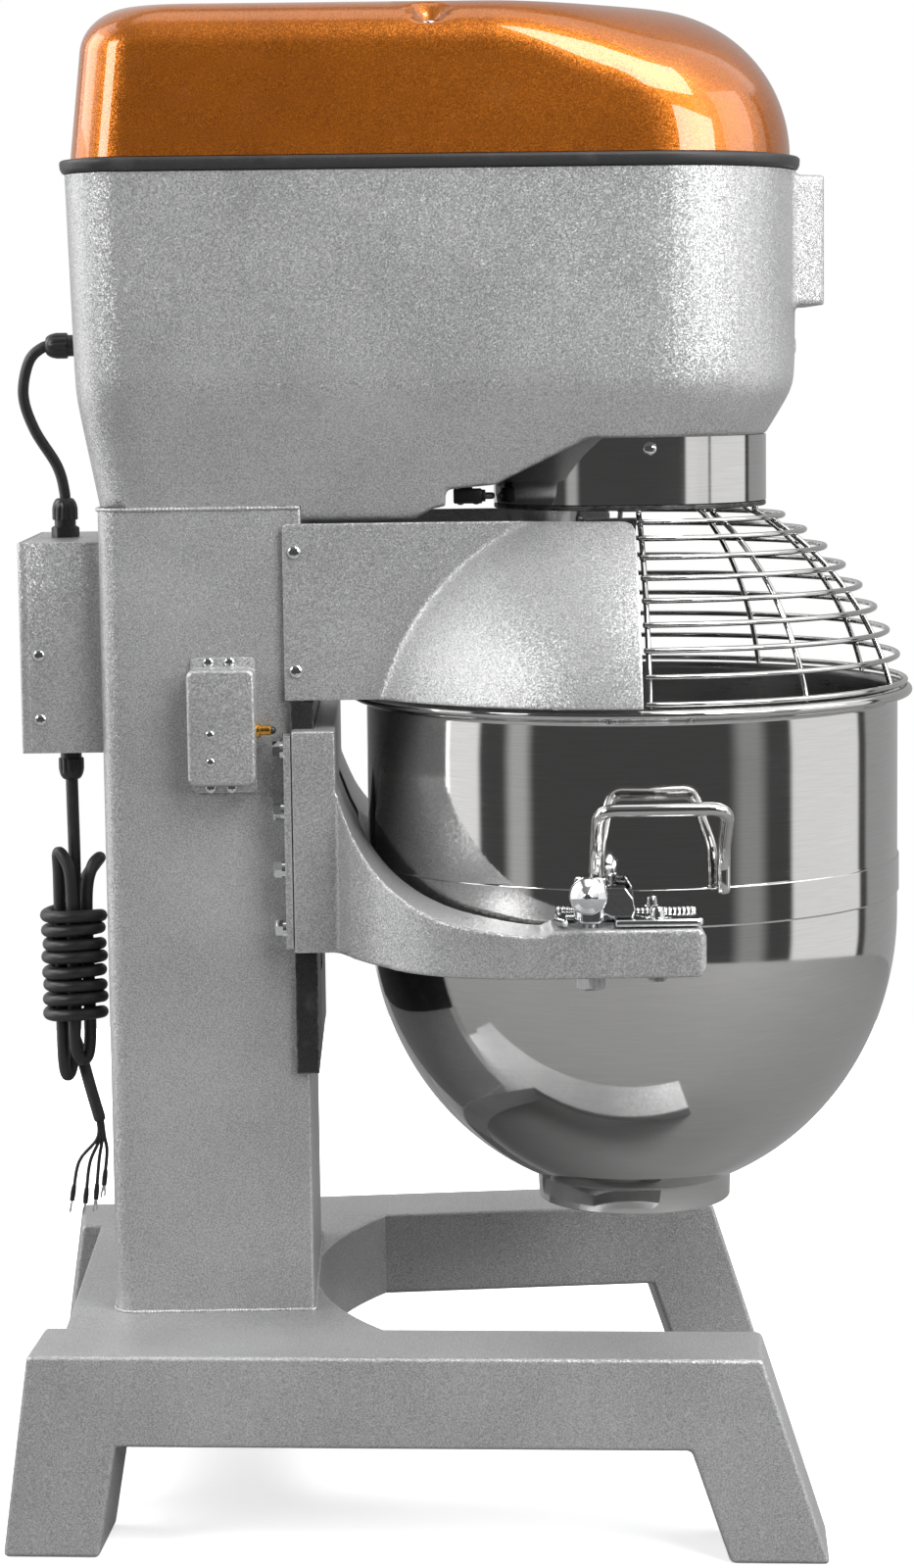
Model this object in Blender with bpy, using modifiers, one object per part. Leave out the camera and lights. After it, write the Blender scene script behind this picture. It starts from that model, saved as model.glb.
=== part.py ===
"""Commercial planetary stand mixer of about 60 litres, as separate pieces.

Metres, +Z up, +X towards the front of the machine (the bowl side), +Y towards the operator's side.
The origin is on the floor, under the middle of the machine's bounding box. Everything stands at rest:
bowl raised, guard closed, clamps on, buttons out.
"""

import math

import bmesh
import bpy
from mathutils import Matrix, Vector

# ---------------------------------------------------------------- driving dimensions
GAP = 0.0003                    # air left between two pieces that touch on the real machine

BOWL_X = 0.150                  # the planetary (bowl) axis is vertical, at this X and Y = 0

FOOT_REAR_X = -0.399            # outer corner of a rear foot
FOOT_FRONT_X = 0.289            # outer corner of a front foot
FOOT_FRONT_HALF = 0.3235        # half width over the front feet
RAIL_SPLAY = math.radians(4.6)  # each side rail points this far outwards
RAIL_WIDTH = 0.090
RAIL_TOP = 0.173
RAIL_BOTTOM = 0.095
DECK_REAR_X = -0.350
DECK_CUT_RADIUS = 0.370         # round cut in the deck's front edge
DECK_CUT_X = -0.139             # deepest point of that cut
DECK_HALF = 0.215
DECK_SHEET = 0.008
DECK_LIP = 0.024                # thickness of the deck's front edge

COLUMN_REAR_X = -0.311
COLUMN_FRONT_X = -0.138
COLUMN_HALF = 0.1376
COLUMN_TOP = 0.8697
COLUMN_WALL = 0.006
COLUMN_FRONT_WALL = 0.022
COLUMN_CORNER = 0.018

WAY_REAR_X = -0.149
WAY_FRONT_X = -0.130
WAY_HALF = 0.145
WAY_BOTTOM = 0.383
WAY_TOP = 0.703
SLOT_HALF = 0.025               # slot that the lift nut's neck runs in
SLOT_BOTTOM = 0.450
SLOT_TOP = 0.680

HEAD_HALF = 0.170
HEAD_REAR_X = -0.332
HEAD_FRONT_X = 0.292
HEAD_SEAM = 0.870               # underside of the head, on the column
HEAD_LIP = 0.857                # the head hangs this low just in front of the column
HEAD_CREASE = 0.965             # the sides turn inwards below this
HEAD_SIDE_LEAN = 0.341          # how far the sides lean in, for each metre below the crease
HEAD_REAR_LEAN = 0.136
HEAD_FRONT_LEAN = 0.600
HEAD_RAKE = 0.027               # how far the rear rakes back, for each metre above the crease
HEAD_TOP = 1.149
HEAD_WALL = 0.008
HEAD_FLOOR = 0.936
HEAD_UNDERSIDE = (              # (x, z) along the underside, from the lip up to the nose
    (-0.042, HEAD_LIP - 0.0005),
    (-0.027, 0.8655),
    (-0.015, 0.8680),
    (-0.015, 0.8820),
    (0.0200, 0.8850),
    (0.0267, 0.8855),
    (0.1058, 0.9240),
)
HEAD_REAR_CORNER = 0.050
HEAD_FRONT_CORNER = 0.130
GASKET_TOP = 1.161
GASKET_PROUD = 0.004
COVER_BOTTOM = 1.1618
COVER_TOP = 1.2893
COVER_EDGE = 0.038              # radius of the cover's rounded top edge
COVER_NOSE_EDGE = 0.090         # the same on the nose, where it is softer
COVER_SHEET = 0.0025

SKIRT_RADIUS = 0.1205
SKIRT_SHEET = 0.0015
SKIRT_BOTTOM = 0.866
SKIRT_TOP = 0.9237

BOWL_RADIUS = 0.236
BOWL_RIM_Z = 0.698
BOWL_RIM_RADIUS = 0.2445
BOWL_BEAD = 0.0045
BOWL_KNEE_Z = 0.500             # the straight wall turns into the round bottom here
BOWL_DEPTH_BELOW_KNEE = 0.255
BOWL_SHEET = 0.002
BAND_LOW = 0.5205
BAND_HIGH = 0.5515
BAND_PROUD = 0.0015
FOOT_RING_RADIUS = 0.0863
FOOT_RING_BOTTOM = 0.240

GUARD_CENTRE_Z = 0.644          # the guard's wires lie on an arc about this height
GUARD_ARC_RADIUS = 0.245
GUARD_ARC_OFFSET = 0.006
GUARD_WIRE = 0.0024
GUARD_HOOPS = 9
GUARD_LOWEST = 14.8             # degrees up the arc, lowest hoop
GUARD_HIGHEST = 58.2            # degrees up the arc, highest hoop
GUARD_RIBS = (-90.0, -56.0, -24.0, 24.0, 56.0, 90.0)

SHIELD_RADIUS = 0.270
SHIELD_CENTRE_Z = 0.646
SHIELD_SHEET = 0.003
SHIELD_FLAT = 0.1405            # inner face of the flat part, from the middle plane
SHIELD_BOTTOM = 0.705
SHIELD_TOP = 0.855
SHIELD_REAR_X = -0.154
SHIELD_FRONT_X = 0.143

YOKE_FRONT_X = -0.112
YOKE_HALF = 0.165
YOKE_BOTTOM = 0.491
YOKE_TOP = 0.681
ARM_OUTER = 0.292
ARM_INNER = 0.2465
ARM_BOTTOM = 0.487
ARM_TOP = 0.527
ARM_TIP_X = 0.192
CLAMP_X = 0.098
CLAMP_Y = 0.268
PIN_X = 0.153
POST_RADIUS = 0.0062
POST_HOLE = 0.0068
EAR_LOW = ARM_TOP + 0.0013      # the ears welded to the bowl lie on the arms
EAR_HIGH = ARM_TOP + 0.0075
EAR_REAR_X = 0.068
EAR_FRONT_X = 0.190
EAR_OUTER = 0.286

SCREW_X = -0.200
SCREW_RADIUS = 0.0138
HANDWHEEL_Z = 0.790
HANDWHEEL_Y = 0.215
HANDWHEEL_RADIUS = 0.084
BEVEL_RADIUS = 0.032
BEVEL_TEETH = 14

TOOTH_TIP = 0.16                # half width of a gear tooth at its tip, as a share of the pitch
TOOTH_ROOT = 0.24               # the same at its root
ORBIT = 0.078                   # distance from the bowl axis to the agitator's own axis
RING_TEETH = 40
PLANET_TEETH = 10
PLANET_MODULE = 2 * ORBIT / (RING_TEETH - PLANET_TEETH)
MAIN_TEETH = 32
PINION_TEETH = 12
DRIVE_MODULE = 0.005
COUNTER_X = BOWL_X - DRIVE_MODULE * (MAIN_TEETH + PINION_TEETH) / 2
MOTOR_X = -0.220
MOTOR_PULLEY_RADIUS = 0.030
DRIVEN_PULLEY_RADIUS = 0.075
PULLEY_LOW = 1.175
PULLEY_HIGH = 1.205
BELT_THICKNESS = 0.006

CABLE_RADIUS = 0.0048
CORD_RADIUS = 0.0055
BOX_REAR_X = -0.382             # electrical box behind the column
BOX_BOTTOM = 0.659
BOX_TOP = 0.840
BOX_HALF = 0.103
BOX_SHEET = 0.002
BOX_GLAND_X = -0.350
HANK_X = -0.3515                # the spare mains cord hangs in a hank at this X
HANK_STRAND = 0.0125            # its inner strands, from the hank's axis
HANK_WRAP = 0.0238
HANK_WRAPS = 8
HANK_TOP = 0.508
HANK_BOTTOM = 0.408

LIMIT_Y = -0.1515               # limit switch plunger
LIMIT_Z = 0.681
SENSOR_Y = -0.023               # guard switch plunger
SENSOR_Z = 0.8724

# ---------------------------------------------------------------- scene and materials


def clear_scene():
    for obj in list(bpy.data.objects):
        bpy.data.objects.remove(obj, do_unlink=True)


def new_collection(name):
    collection = bpy.data.collections.new(name)
    bpy.context.scene.collection.children.link(collection)
    return collection


def new_material(name, colour, metallic, roughness):
    material = bpy.data.materials.new(name)
    material.use_nodes = True
    shader = material.node_tree.nodes["Principled BSDF"]
    shader.inputs["Base Color"].default_value = (*colour, 1.0)
    shader.inputs["Metallic"].default_value = metallic
    shader.inputs["Roughness"].default_value = roughness
    return material


clear_scene()
PARTS = new_collection("stand_mixer")
CUTTERS = new_collection("cutters")

FINISHES = {
    "silver_paint": ((0.46, 0.46, 0.47), 0.35, 0.45),
    "copper_paint": ((0.50, 0.13, 0.02), 0.55, 0.25),
    "stainless": ((0.62, 0.62, 0.63), 1.0, 0.18),
    "steel": ((0.42, 0.42, 0.43), 1.0, 0.35),
    "rubber": ((0.02, 0.02, 0.02), 0.0, 0.6),
    "black_steel": ((0.03, 0.03, 0.03), 0.3, 0.5),
    "brass": ((0.62, 0.40, 0.12), 1.0, 0.3),
    "bronze": ((0.45, 0.28, 0.12), 1.0, 0.4),
    "motor_grey": ((0.10, 0.12, 0.14), 0.1, 0.6),
    "red_plastic": ((0.55, 0.02, 0.02), 0.0, 0.35),
    "green_plastic": ((0.02, 0.30, 0.06), 0.0, 0.35),
}


def parent_to(obj, pivot):
    """Hangs the object on a pivot empty without moving it."""
    obj.parent = pivot
    obj.matrix_parent_inverse = Matrix.Translation(pivot.location).inverted()


def finish(obj, finish_name, pivot=None, smooth_angle=None):
    """Names a piece's finish, shades it and files it with the parts. Each piece gets its own material."""
    obj.data.materials.clear()
    obj.data.materials.append(new_material(obj.name + "_finish", *FINISHES[finish_name]))
    if smooth_angle is not None:
        obj.data.shade_smooth()
        obj.data.set_sharp_from_angle(angle=math.radians(smooth_angle))
    if pivot is not None:
        parent_to(obj, pivot)
    return obj


def pivot_at(name, location):
    pivot = bpy.data.objects.new(name, None)
    pivot.empty_display_size = 0.05
    pivot.location = location
    PARTS.objects.link(pivot)
    return pivot


# ---------------------------------------------------------------- shape tools


def object_from(name, mesh):
    obj = bpy.data.objects.new(name, mesh)
    PARTS.objects.link(obj)
    return obj


def object_from_bmesh(name, shape):
    bmesh.ops.recalc_face_normals(shape, faces=shape.faces)
    mesh = bpy.data.meshes.new(name)
    shape.to_mesh(mesh)
    shape.free()
    return object_from(name, mesh)


def box(name, low, high):
    """A block between two opposite corners."""
    low, high = Vector(low), Vector(high)
    shape = bmesh.new()
    bmesh.ops.create_cube(shape, size=1.0)
    bmesh.ops.scale(shape, vec=high - low, verts=shape.verts)
    obj = object_from_bmesh(name, shape)
    obj.location = (low + high) / 2
    return obj


def cylinder(name, radius, start, end, sides=24, end_radius=None):
    """A round bar, or a cone, from one point to another."""
    start, end = Vector(start), Vector(end)
    along = end - start
    shape = bmesh.new()
    bmesh.ops.create_cone(
        shape,
        cap_ends=True,
        segments=sides,
        radius1=radius,
        radius2=radius if end_radius is None else end_radius,
        depth=along.length,
    )
    bmesh.ops.rotate(
        shape,
        verts=shape.verts,
        matrix=along.to_track_quat("Z", "Y").to_matrix(),
    )
    obj = object_from_bmesh(name, shape)
    obj.location = (start + end) / 2
    return obj


def ball(name, radius, centre, rings=10, segments=20):
    shape = bmesh.new()
    bmesh.ops.create_uvsphere(shape, u_segments=segments, v_segments=rings, radius=radius)
    obj = object_from_bmesh(name, shape)
    obj.location = centre
    return obj


def made_mesh(obj, weld=0.0):
    """Replaces a curve, or an object with modifiers, by the mesh it evaluates to."""
    bpy.context.view_layer.update()
    graph = bpy.context.evaluated_depsgraph_get()
    mesh = bpy.data.meshes.new_from_object(obj.evaluated_get(graph))
    if weld:
        shape = bmesh.new()
        shape.from_mesh(mesh)
        bmesh.ops.remove_doubles(shape, verts=shape.verts, dist=weld)
        bmesh.ops.recalc_face_normals(shape, faces=shape.faces)
        shape.to_mesh(mesh)
        shape.free()
    name = obj.name
    placed = obj.matrix_world.copy()
    bpy.data.objects.remove(obj, do_unlink=True)
    made = object_from(name, mesh)
    made.matrix_world = placed
    return made


def turned(name, profile, centre, steps=32, closed=True):
    """Turns an (r, z) outline round the vertical axis through centre. It runs top to bottom outside."""
    mesh = bpy.data.meshes.new(name)
    edges = [(i, i + 1) for i in range(len(profile) - 1)]
    if closed:
        edges.append((len(profile) - 1, 0))
    mesh.from_pydata([(r, 0.0, z) for r, z in profile], edges, [])
    obj = object_from(name, mesh)
    obj.location = centre
    screw = obj.modifiers.new("Turn", "SCREW")
    screw.steps = steps
    screw.render_steps = steps
    screw.use_merge_vertices = True
    screw.merge_threshold = 0.00005
    return made_mesh(obj)


def plate(name, loops, low, high):
    """A flat piece: outlines in XY, the first one outside and the others holes, from height low to high."""
    curve = bpy.data.curves.new(name, "CURVE")
    curve.dimensions = "2D"
    curve.fill_mode = "BOTH"
    curve.extrude = (high - low) / 2
    for loop in loops:
        spline = curve.splines.new("POLY")
        spline.points.add(len(loop) - 1)
        for point, (x, y) in zip(spline.points, loop):
            point.co = (x, y, 0.0, 1.0)
        spline.use_cyclic_u = True
    obj = bpy.data.objects.new(name, curve)
    PARTS.objects.link(obj)
    obj.location.z = (low + high) / 2
    return made_mesh(obj, weld=0.00001)


def side_plate(name, outline, low_y, high_y):
    """A flat piece whose outline is drawn in XZ, from one Y to another."""
    obj = plate(name, [[(x, z) for x, z in outline]], -(high_y - low_y) / 2, (high_y - low_y) / 2)
    obj.data.transform(Matrix.Rotation(math.radians(90), 4, "X"))
    obj.location = (0.0, (low_y + high_y) / 2, 0.0)
    return obj


def rod(name, points, radius, resolution=1):
    """A round wire through the points."""
    curve = bpy.data.curves.new(name, "CURVE")
    curve.dimensions = "3D"
    curve.bevel_depth = radius
    curve.bevel_resolution = resolution
    curve.use_fill_caps = True
    spline = curve.splines.new("POLY")
    spline.points.add(len(points) - 1)
    for point, place in zip(spline.points, points):
        point.co = (*place, 1.0)
    obj = bpy.data.objects.new(name, curve)
    PARTS.objects.link(obj)
    return made_mesh(obj, weld=0.00001)


def loft(name, rings, cap_low=True, cap_high=True):
    """A skin over rings of points that all have the same count."""
    shape = bmesh.new()
    rows = [[shape.verts.new(point) for point in ring] for ring in rings]
    count = len(rows[0])
    for lower, upper in zip(rows, rows[1:]):
        for i in range(count):
            j = (i + 1) % count
            shape.faces.new((lower[i], lower[j], upper[j], upper[i]))
    if cap_low:
        shape.faces.new(list(reversed(rows[0])))
    if cap_high:
        shape.faces.new(rows[-1])
    return object_from_bmesh(name, shape)


def combine(obj, operation, others):
    """Adds a Boolean with each other object, which becomes a helper among the cutters."""
    for other in others:
        modifier = obj.modifiers.new(operation.title(), "BOOLEAN")
        modifier.operation = operation
        modifier.solver = "EXACT"
        modifier.object = other
        PARTS.objects.unlink(other)
        CUTTERS.objects.link(other)
        other.hide_render = True
        other.display_type = "WIRE"
    return obj


def cut(obj, *others):
    return combine(obj, "DIFFERENCE", others)


def unite(obj, *others):
    return combine(obj, "UNION", others)


def keep_inside(obj, *others):
    return combine(obj, "INTERSECT", others)


# ---------------------------------------------------------------- outlines


def arc(centre_x, centre_y, radius, start, end, steps):
    """Points along an arc, angles in degrees, both ends included."""
    angles = [math.radians(start + (end - start) * i / steps) for i in range(steps + 1)]
    return [(centre_x + radius * math.cos(a), centre_y + radius * math.sin(a)) for a in angles]


def circle(centre_x, centre_y, radius, sides=32):
    return arc(centre_x, centre_y, radius, 0.0, 360.0 * (sides - 1) / sides, sides - 1)


def rectangle(low_x, high_x, low_y, high_y):
    return [(low_x, low_y), (high_x, low_y), (high_x, high_y), (low_x, high_y)]


def rounded_outline(low_x, high_x, half, rear_radius, front_radius, steps=6):
    """A rectangle about the middle plane with one corner radius behind and one in front."""
    front_x = high_x - front_radius
    rear_x = low_x + rear_radius
    return (
        arc(front_x, -half + front_radius, front_radius, -90.0, 0.0, steps)
        + arc(front_x, half - front_radius, front_radius, 0.0, 90.0, steps)
        + arc(rear_x, half - rear_radius, rear_radius, 90.0, 180.0, steps)
        + arc(rear_x, -half + rear_radius, rear_radius, 180.0, 270.0, steps)
    )


def at_height(outline, z):
    return [(x, y, z) for x, y in outline]


def smooth_path(points, steps=4):
    """A rounded line through the points (Catmull-Rom)."""
    points = [Vector(p) for p in points]
    padded = [2 * points[0] - points[1], *points, 2 * points[-1] - points[-2]]
    path = []
    for i in range(1, len(padded) - 2):
        before, start, end, after = padded[i - 1:i + 3]
        for step in range(steps):
            t = step / steps
            path.append(
                0.5 * (
                    2 * start
                    + (end - before) * t
                    + (2 * before - 5 * start + 4 * end - after) * t ** 2
                    + (3 * start - before - 3 * end + after) * t ** 3
                )
            )
    path.append(points[-1])
    return path


def gear_outline(teeth, pitch_radius, outside, inside, centre=(0.0, 0.0), phase=0.0):
    """A ring of straight-sided teeth between the tip radius and the root radius."""
    pitch = 2 * math.pi / teeth
    points = []
    for tooth in range(teeth):
        middle = phase + tooth * pitch
        for share, radius in (
            (-TOOTH_ROOT, inside),
            (-TOOTH_TIP, outside),
            (TOOTH_TIP, outside),
            (TOOTH_ROOT, inside),
        ):
            angle = middle + share * pitch
            reach = pitch_radius + radius
            points.append((centre[0] + reach * math.cos(angle), centre[1] + reach * math.sin(angle)))
    return points


# ---------------------------------------------------------------- stand


def side_rail(name, side):
    """One box-section rail with its two slanted legs, turned outwards by the splay."""
    outline = [
        (FOOT_REAR_X, 0.0),
        (FOOT_REAR_X + 0.081, 0.0),
        (FOOT_REAR_X + 0.097, RAIL_BOTTOM),
        (FOOT_FRONT_X - 0.114, RAIL_BOTTOM),
        (FOOT_FRONT_X - 0.082, 0.0),
        (FOOT_FRONT_X, 0.0),
        (FOOT_FRONT_X - 0.055, RAIL_TOP),
        (FOOT_REAR_X + 0.024, RAIL_TOP),
    ]
    stretch = 1 / math.cos(RAIL_SPLAY)
    local = [((x - FOOT_FRONT_X) * stretch, z) for x, z in outline]
    low_y, high_y = (-RAIL_WIDTH, 0.0) if side > 0 else (0.0, RAIL_WIDTH)
    rail = side_plate(name, local, low_y, high_y)
    rail.data.transform(Matrix.Translation(rail.location))
    rail.data.transform(Matrix.Rotation(side * RAIL_SPLAY, 4, "Z"))
    rail.location = (FOOT_FRONT_X, side * FOOT_FRONT_HALF, 0.0)
    return rail


def deck_edge(lip, half, steps):
    """The deck's concave front edge, or its inner face this far behind it."""
    radius = DECK_CUT_RADIUS + lip
    sweep = math.degrees(math.asin(half / radius))
    return arc(DECK_CUT_X + DECK_CUT_RADIUS, 0.0, radius, 180 + sweep, 180 - sweep, steps)


def make_base():
    left = side_rail("base_frame", -1)
    right = side_rail("right_rail_half", 1)
    deck = plate(
        "deck",
        [[(DECK_REAR_X, -DECK_HALF), *deck_edge(0.0, DECK_HALF, 16), (DECK_REAR_X, DECK_HALF)]],
        RAIL_BOTTOM + GAP,
        RAIL_TOP - GAP,
    )
    inner_half = DECK_HALF - 0.050
    inner_rear = DECK_REAR_X + DECK_SHEET
    hollow = plate(
        "deck_hollow",
        [[(inner_rear, -inner_half), *deck_edge(DECK_LIP, inner_half, 12), (inner_rear, inner_half)]],
        RAIL_BOTTOM - 0.02,
        RAIL_TOP - DECK_SHEET,
    )
    cut(deck, hollow)
    unite(left, right, deck)
    finish(left, "silver_paint")


def make_column():
    outline = rounded_outline(COLUMN_REAR_X, COLUMN_FRONT_X, COLUMN_HALF, COLUMN_CORNER, 0.001, 4)
    inside = rectangle(
        COLUMN_REAR_X + COLUMN_WALL,
        COLUMN_FRONT_X - COLUMN_FRONT_WALL,
        -COLUMN_HALF + COLUMN_WALL,
        COLUMN_HALF - COLUMN_WALL,
    )
    column = plate("column", [outline, inside], RAIL_TOP + GAP, COLUMN_TOP)
    way_pocket = box(
        "way_pocket",
        (WAY_REAR_X - GAP, -0.2, WAY_BOTTOM - GAP),
        (0.0, 0.2, WAY_TOP + GAP),
    )
    nut_slot = box("nut_slot", (-0.18, -SLOT_HALF, SLOT_BOTTOM), (0.0, SLOT_HALF, SLOT_TOP))
    shaft_hole = cylinder(
        "shaft_hole",
        0.0105,
        (SCREW_X, 0.10, HANDWHEEL_Z),
        (SCREW_X, 0.20, HANDWHEEL_Z),
    )
    cut(column, way_pocket, nut_slot, shaft_hole)
    finish(column, "silver_paint")

    way = box("slide_way", (WAY_REAR_X, -WAY_HALF, WAY_BOTTOM), (WAY_FRONT_X, WAY_HALF, WAY_TOP))
    way_slot = box("way_slot", (-0.16, -SLOT_HALF, SLOT_BOTTOM), (0.0, SLOT_HALF, SLOT_TOP))
    cut(way, way_slot)
    finish(way, "black_steel")


# ---------------------------------------------------------------- head


def head_outline(z, inset=0.0):
    """The head's plan outline at a height; the sides lean in below the crease, the rear rakes out above."""
    below = max(0.0, HEAD_CREASE - z)
    rake = (z - HEAD_CREASE) * HEAD_RAKE
    return rounded_outline(
        HEAD_REAR_X + 0.005 - rake + HEAD_REAR_LEAN * below + inset,
        HEAD_FRONT_X - HEAD_FRONT_LEAN * below - inset,
        HEAD_HALF - HEAD_SIDE_LEAN * below - inset,
        HEAD_REAR_CORNER - 0.5 * inset,
        HEAD_FRONT_CORNER - 0.5 * inset,
    )


def head_loft(name, heights, inset=0.0):
    return loft(name, [at_height(head_outline(z, inset), z) for z in heights])


def make_head():
    head = head_loft("head_housing", (HEAD_LIP, HEAD_CREASE, HEAD_TOP))
    boss_outline = [(0.265, -0.088), (0.315, -0.066), (0.315, 0.066), (0.265, 0.088)]
    boss = plate("nose_boss", [boss_outline], 1.034, 1.145)
    lip_x = HEAD_UNDERSIDE[0][0]
    nose_z = HEAD_UNDERSIDE[-1][1]
    below = [(lip_x, 0.80), (0.45, 0.80), (0.45, nose_z), *reversed(HEAD_UNDERSIDE)]
    underside = side_plate("head_underside", below, -0.25, 0.25)
    column_room = box("column_room", (-0.40, -0.25, 0.80), (COLUMN_FRONT_X + GAP, 0.25, HEAD_SEAM))
    inside = head_loft("head_inside", (HEAD_FLOOR, HEAD_CREASE, HEAD_TOP + 0.02), HEAD_WALL)
    gear_opening = cylinder("gear_opening", 0.1130, (BOWL_X, 0, 0.8), (BOWL_X, 0, 0.95), 40)
    unite(head, boss)
    cut(head, underside, column_room, inside, gear_opening)
    finish(head, "silver_paint")

    gasket = loft_band("head_gasket", HEAD_TOP + GAP, GASKET_TOP, GASKET_PROUD)
    finish(gasket, "rubber")

    plug = cylinder("front_plug", 0.0105, (HEAD_FRONT_X + 0.0016, 0, 1.0), (0.2975, 0, 1.0), 20)
    finish(plug, "silver_paint", smooth_angle=40)


def loft_band(name, low, high, proud):
    """A flat gasket that follows the head's rim."""
    outside = head_outline(HEAD_TOP, -proud)
    inside = head_outline(HEAD_TOP, HEAD_WALL)
    return plate(name, [outside, inside], low, high)


def cover_pull(x, z):
    """How far the rounded top edge brings the cover's side in, at a height and a place along it."""
    share = min(1.0, max(0.0, (x - 0.02) / 0.16))
    edge = COVER_EDGE + (COVER_NOSE_EDGE - COVER_EDGE) * share * share * (3 - 2 * share)
    over = max(0.0, edge - (COVER_TOP - z))
    return edge - math.sqrt(max(0.0, edge ** 2 - over ** 2))


def cover_outline(z):
    """The cover's plan outline at a height: raked tail, rounded top edges, long quarter-ellipse nose."""
    up = min(1.0, (z - COVER_BOTTOM) / (COVER_TOP - COVER_BOTTOM))
    nose = 0.160 + 0.128 * math.sqrt(max(0.0, 1 - up ** 2))
    tail = HEAD_REAR_X + 0.005 + 0.014 * up + 1.1 * cover_pull(HEAD_REAR_X, z)
    half = 0.166 - 0.004 * up
    outline = rounded_outline(tail, nose, half, HEAD_REAR_CORNER, HEAD_FRONT_CORNER)
    return [(x, y * (1 - cover_pull(x, z) / half)) for x, y in outline]


def make_cover():
    heights = [COVER_BOTTOM] + [COVER_TOP - down for down in (0.088, 0.046, 0.026, 0.011, 0.001)]
    rings = [at_height(cover_outline(z), z) for z in heights]
    middle = Vector((-0.08, 0.0, COVER_TOP))
    crown = [Vector(p).lerp(middle, 0.45) for p in rings[-1]]
    rings.append([(p.x, p.y, COVER_TOP) for p in crown])
    skin = loft("top_cover", rings, cap_low=False)
    shell = skin.modifiers.new("Sheet", "SOLIDIFY")
    shell.thickness = COVER_SHEET
    shell.offset = -1.0
    shell.use_even_offset = True
    finish(skin, "copper_paint", smooth_angle=60)


def make_skirt():
    inner = SKIRT_RADIUS - SKIRT_SHEET
    profile = [
        (SKIRT_RADIUS, SKIRT_TOP),
        (SKIRT_RADIUS, SKIRT_BOTTOM),
        (inner, SKIRT_BOTTOM),
        (inner, SKIRT_TOP),
    ]
    skirt = turned("drip_skirt", profile, (BOWL_X, 0, 0), 36)
    slope = [(x, z - 2 * GAP) for x, z in HEAD_UNDERSIDE[-3:]]
    head_slope = side_plate("head_slope", [*slope, (slope[-1][0], 1.0), (slope[0][0], 1.0)], -0.2, 0.2)
    cut(skirt, head_slope)
    finish(skirt, "stainless", smooth_angle=40)


# ---------------------------------------------------------------- drive train


def make_motor():
    housing = turned(
        "motor_housing",
        [
            (0.085, 1.125),
            (0.085, 0.940),
            (0.0135, 0.940),
            (0.0135, 0.952),
            (0.063, 0.952),
            (0.063, 1.113),
            (0.0135, 1.113),
            (0.0135, 1.125),
        ],
        (MOTOR_X, 0, 0),
        28,
    )
    finish(housing, "motor_grey", smooth_angle=40)

    motor = pivot_at("motor_axis", (MOTOR_X, 0, 1.0))
    rotor = turned(
        "motor_rotor",
        [
            (0.0, 1.215),
            (0.0115, 1.215),
            (0.0115, 1.095),
            (0.057, 1.095),
            (0.057, 0.970),
            (0.0115, 0.970),
            (0.0115, 0.943),
            (0.0, 0.943),
        ],
        (MOTOR_X, 0, 0),
        20,
        closed=False,
    )
    finish(rotor, "steel", motor, 40)
    pulley = plate(
        "motor_pulley",
        [circle(MOTOR_X, 0, MOTOR_PULLEY_RADIUS, 24), circle(MOTOR_X, 0, 0.012, 20)],
        PULLEY_LOW,
        PULLEY_HIGH,
    )
    finish(pulley, "steel", motor, 40)


def belt_loop(extra):
    """The belt's line round both pulleys, this far outside them."""
    small = MOTOR_PULLEY_RADIUS + extra
    large = DRIVEN_PULLEY_RADIUS + extra
    lean = math.degrees(math.asin((large - small) / (COUNTER_X - MOTOR_X)))
    return (
        arc(COUNTER_X, 0, large, -90 - lean, 90 + lean, 20)
        + arc(MOTOR_X, 0, small, 90 + lean, 270 - lean, 10)
    )


def make_belt():
    belt = plate(
        "drive_belt",
        [belt_loop(0.0006 + BELT_THICKNESS), belt_loop(0.0006)],
        PULLEY_LOW + 0.005,
        PULLEY_HIGH - 0.005,
    )
    finish(belt, "rubber")


def make_countershaft():
    counter = pivot_at("counter_axis", (COUNTER_X, 0, 1.0))
    shaft = cylinder("countershaft", 0.0115, (COUNTER_X, 0, 0.940), (COUNTER_X, 0, 1.215), 20)
    pitch_radius = DRIVE_MODULE * PINION_TEETH / 2
    pinion = plate(
        "counter_pinion",
        [
            gear_outline(
                PINION_TEETH,
                pitch_radius,
                0.0030,
                -0.0055,
                centre=(COUNTER_X, 0),
                phase=math.pi / PINION_TEETH,
            )
        ],
        0.946,
        0.980,
    )
    unite(shaft, pinion)
    finish(shaft, "steel", counter, 30)
    pulley = plate(
        "driven_pulley",
        [circle(COUNTER_X, 0, DRIVEN_PULLEY_RADIUS, 36), circle(COUNTER_X, 0, 0.012, 20)],
        PULLEY_LOW,
        PULLEY_HIGH,
    )
    finish(pulley, "steel", counter, 40)


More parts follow.
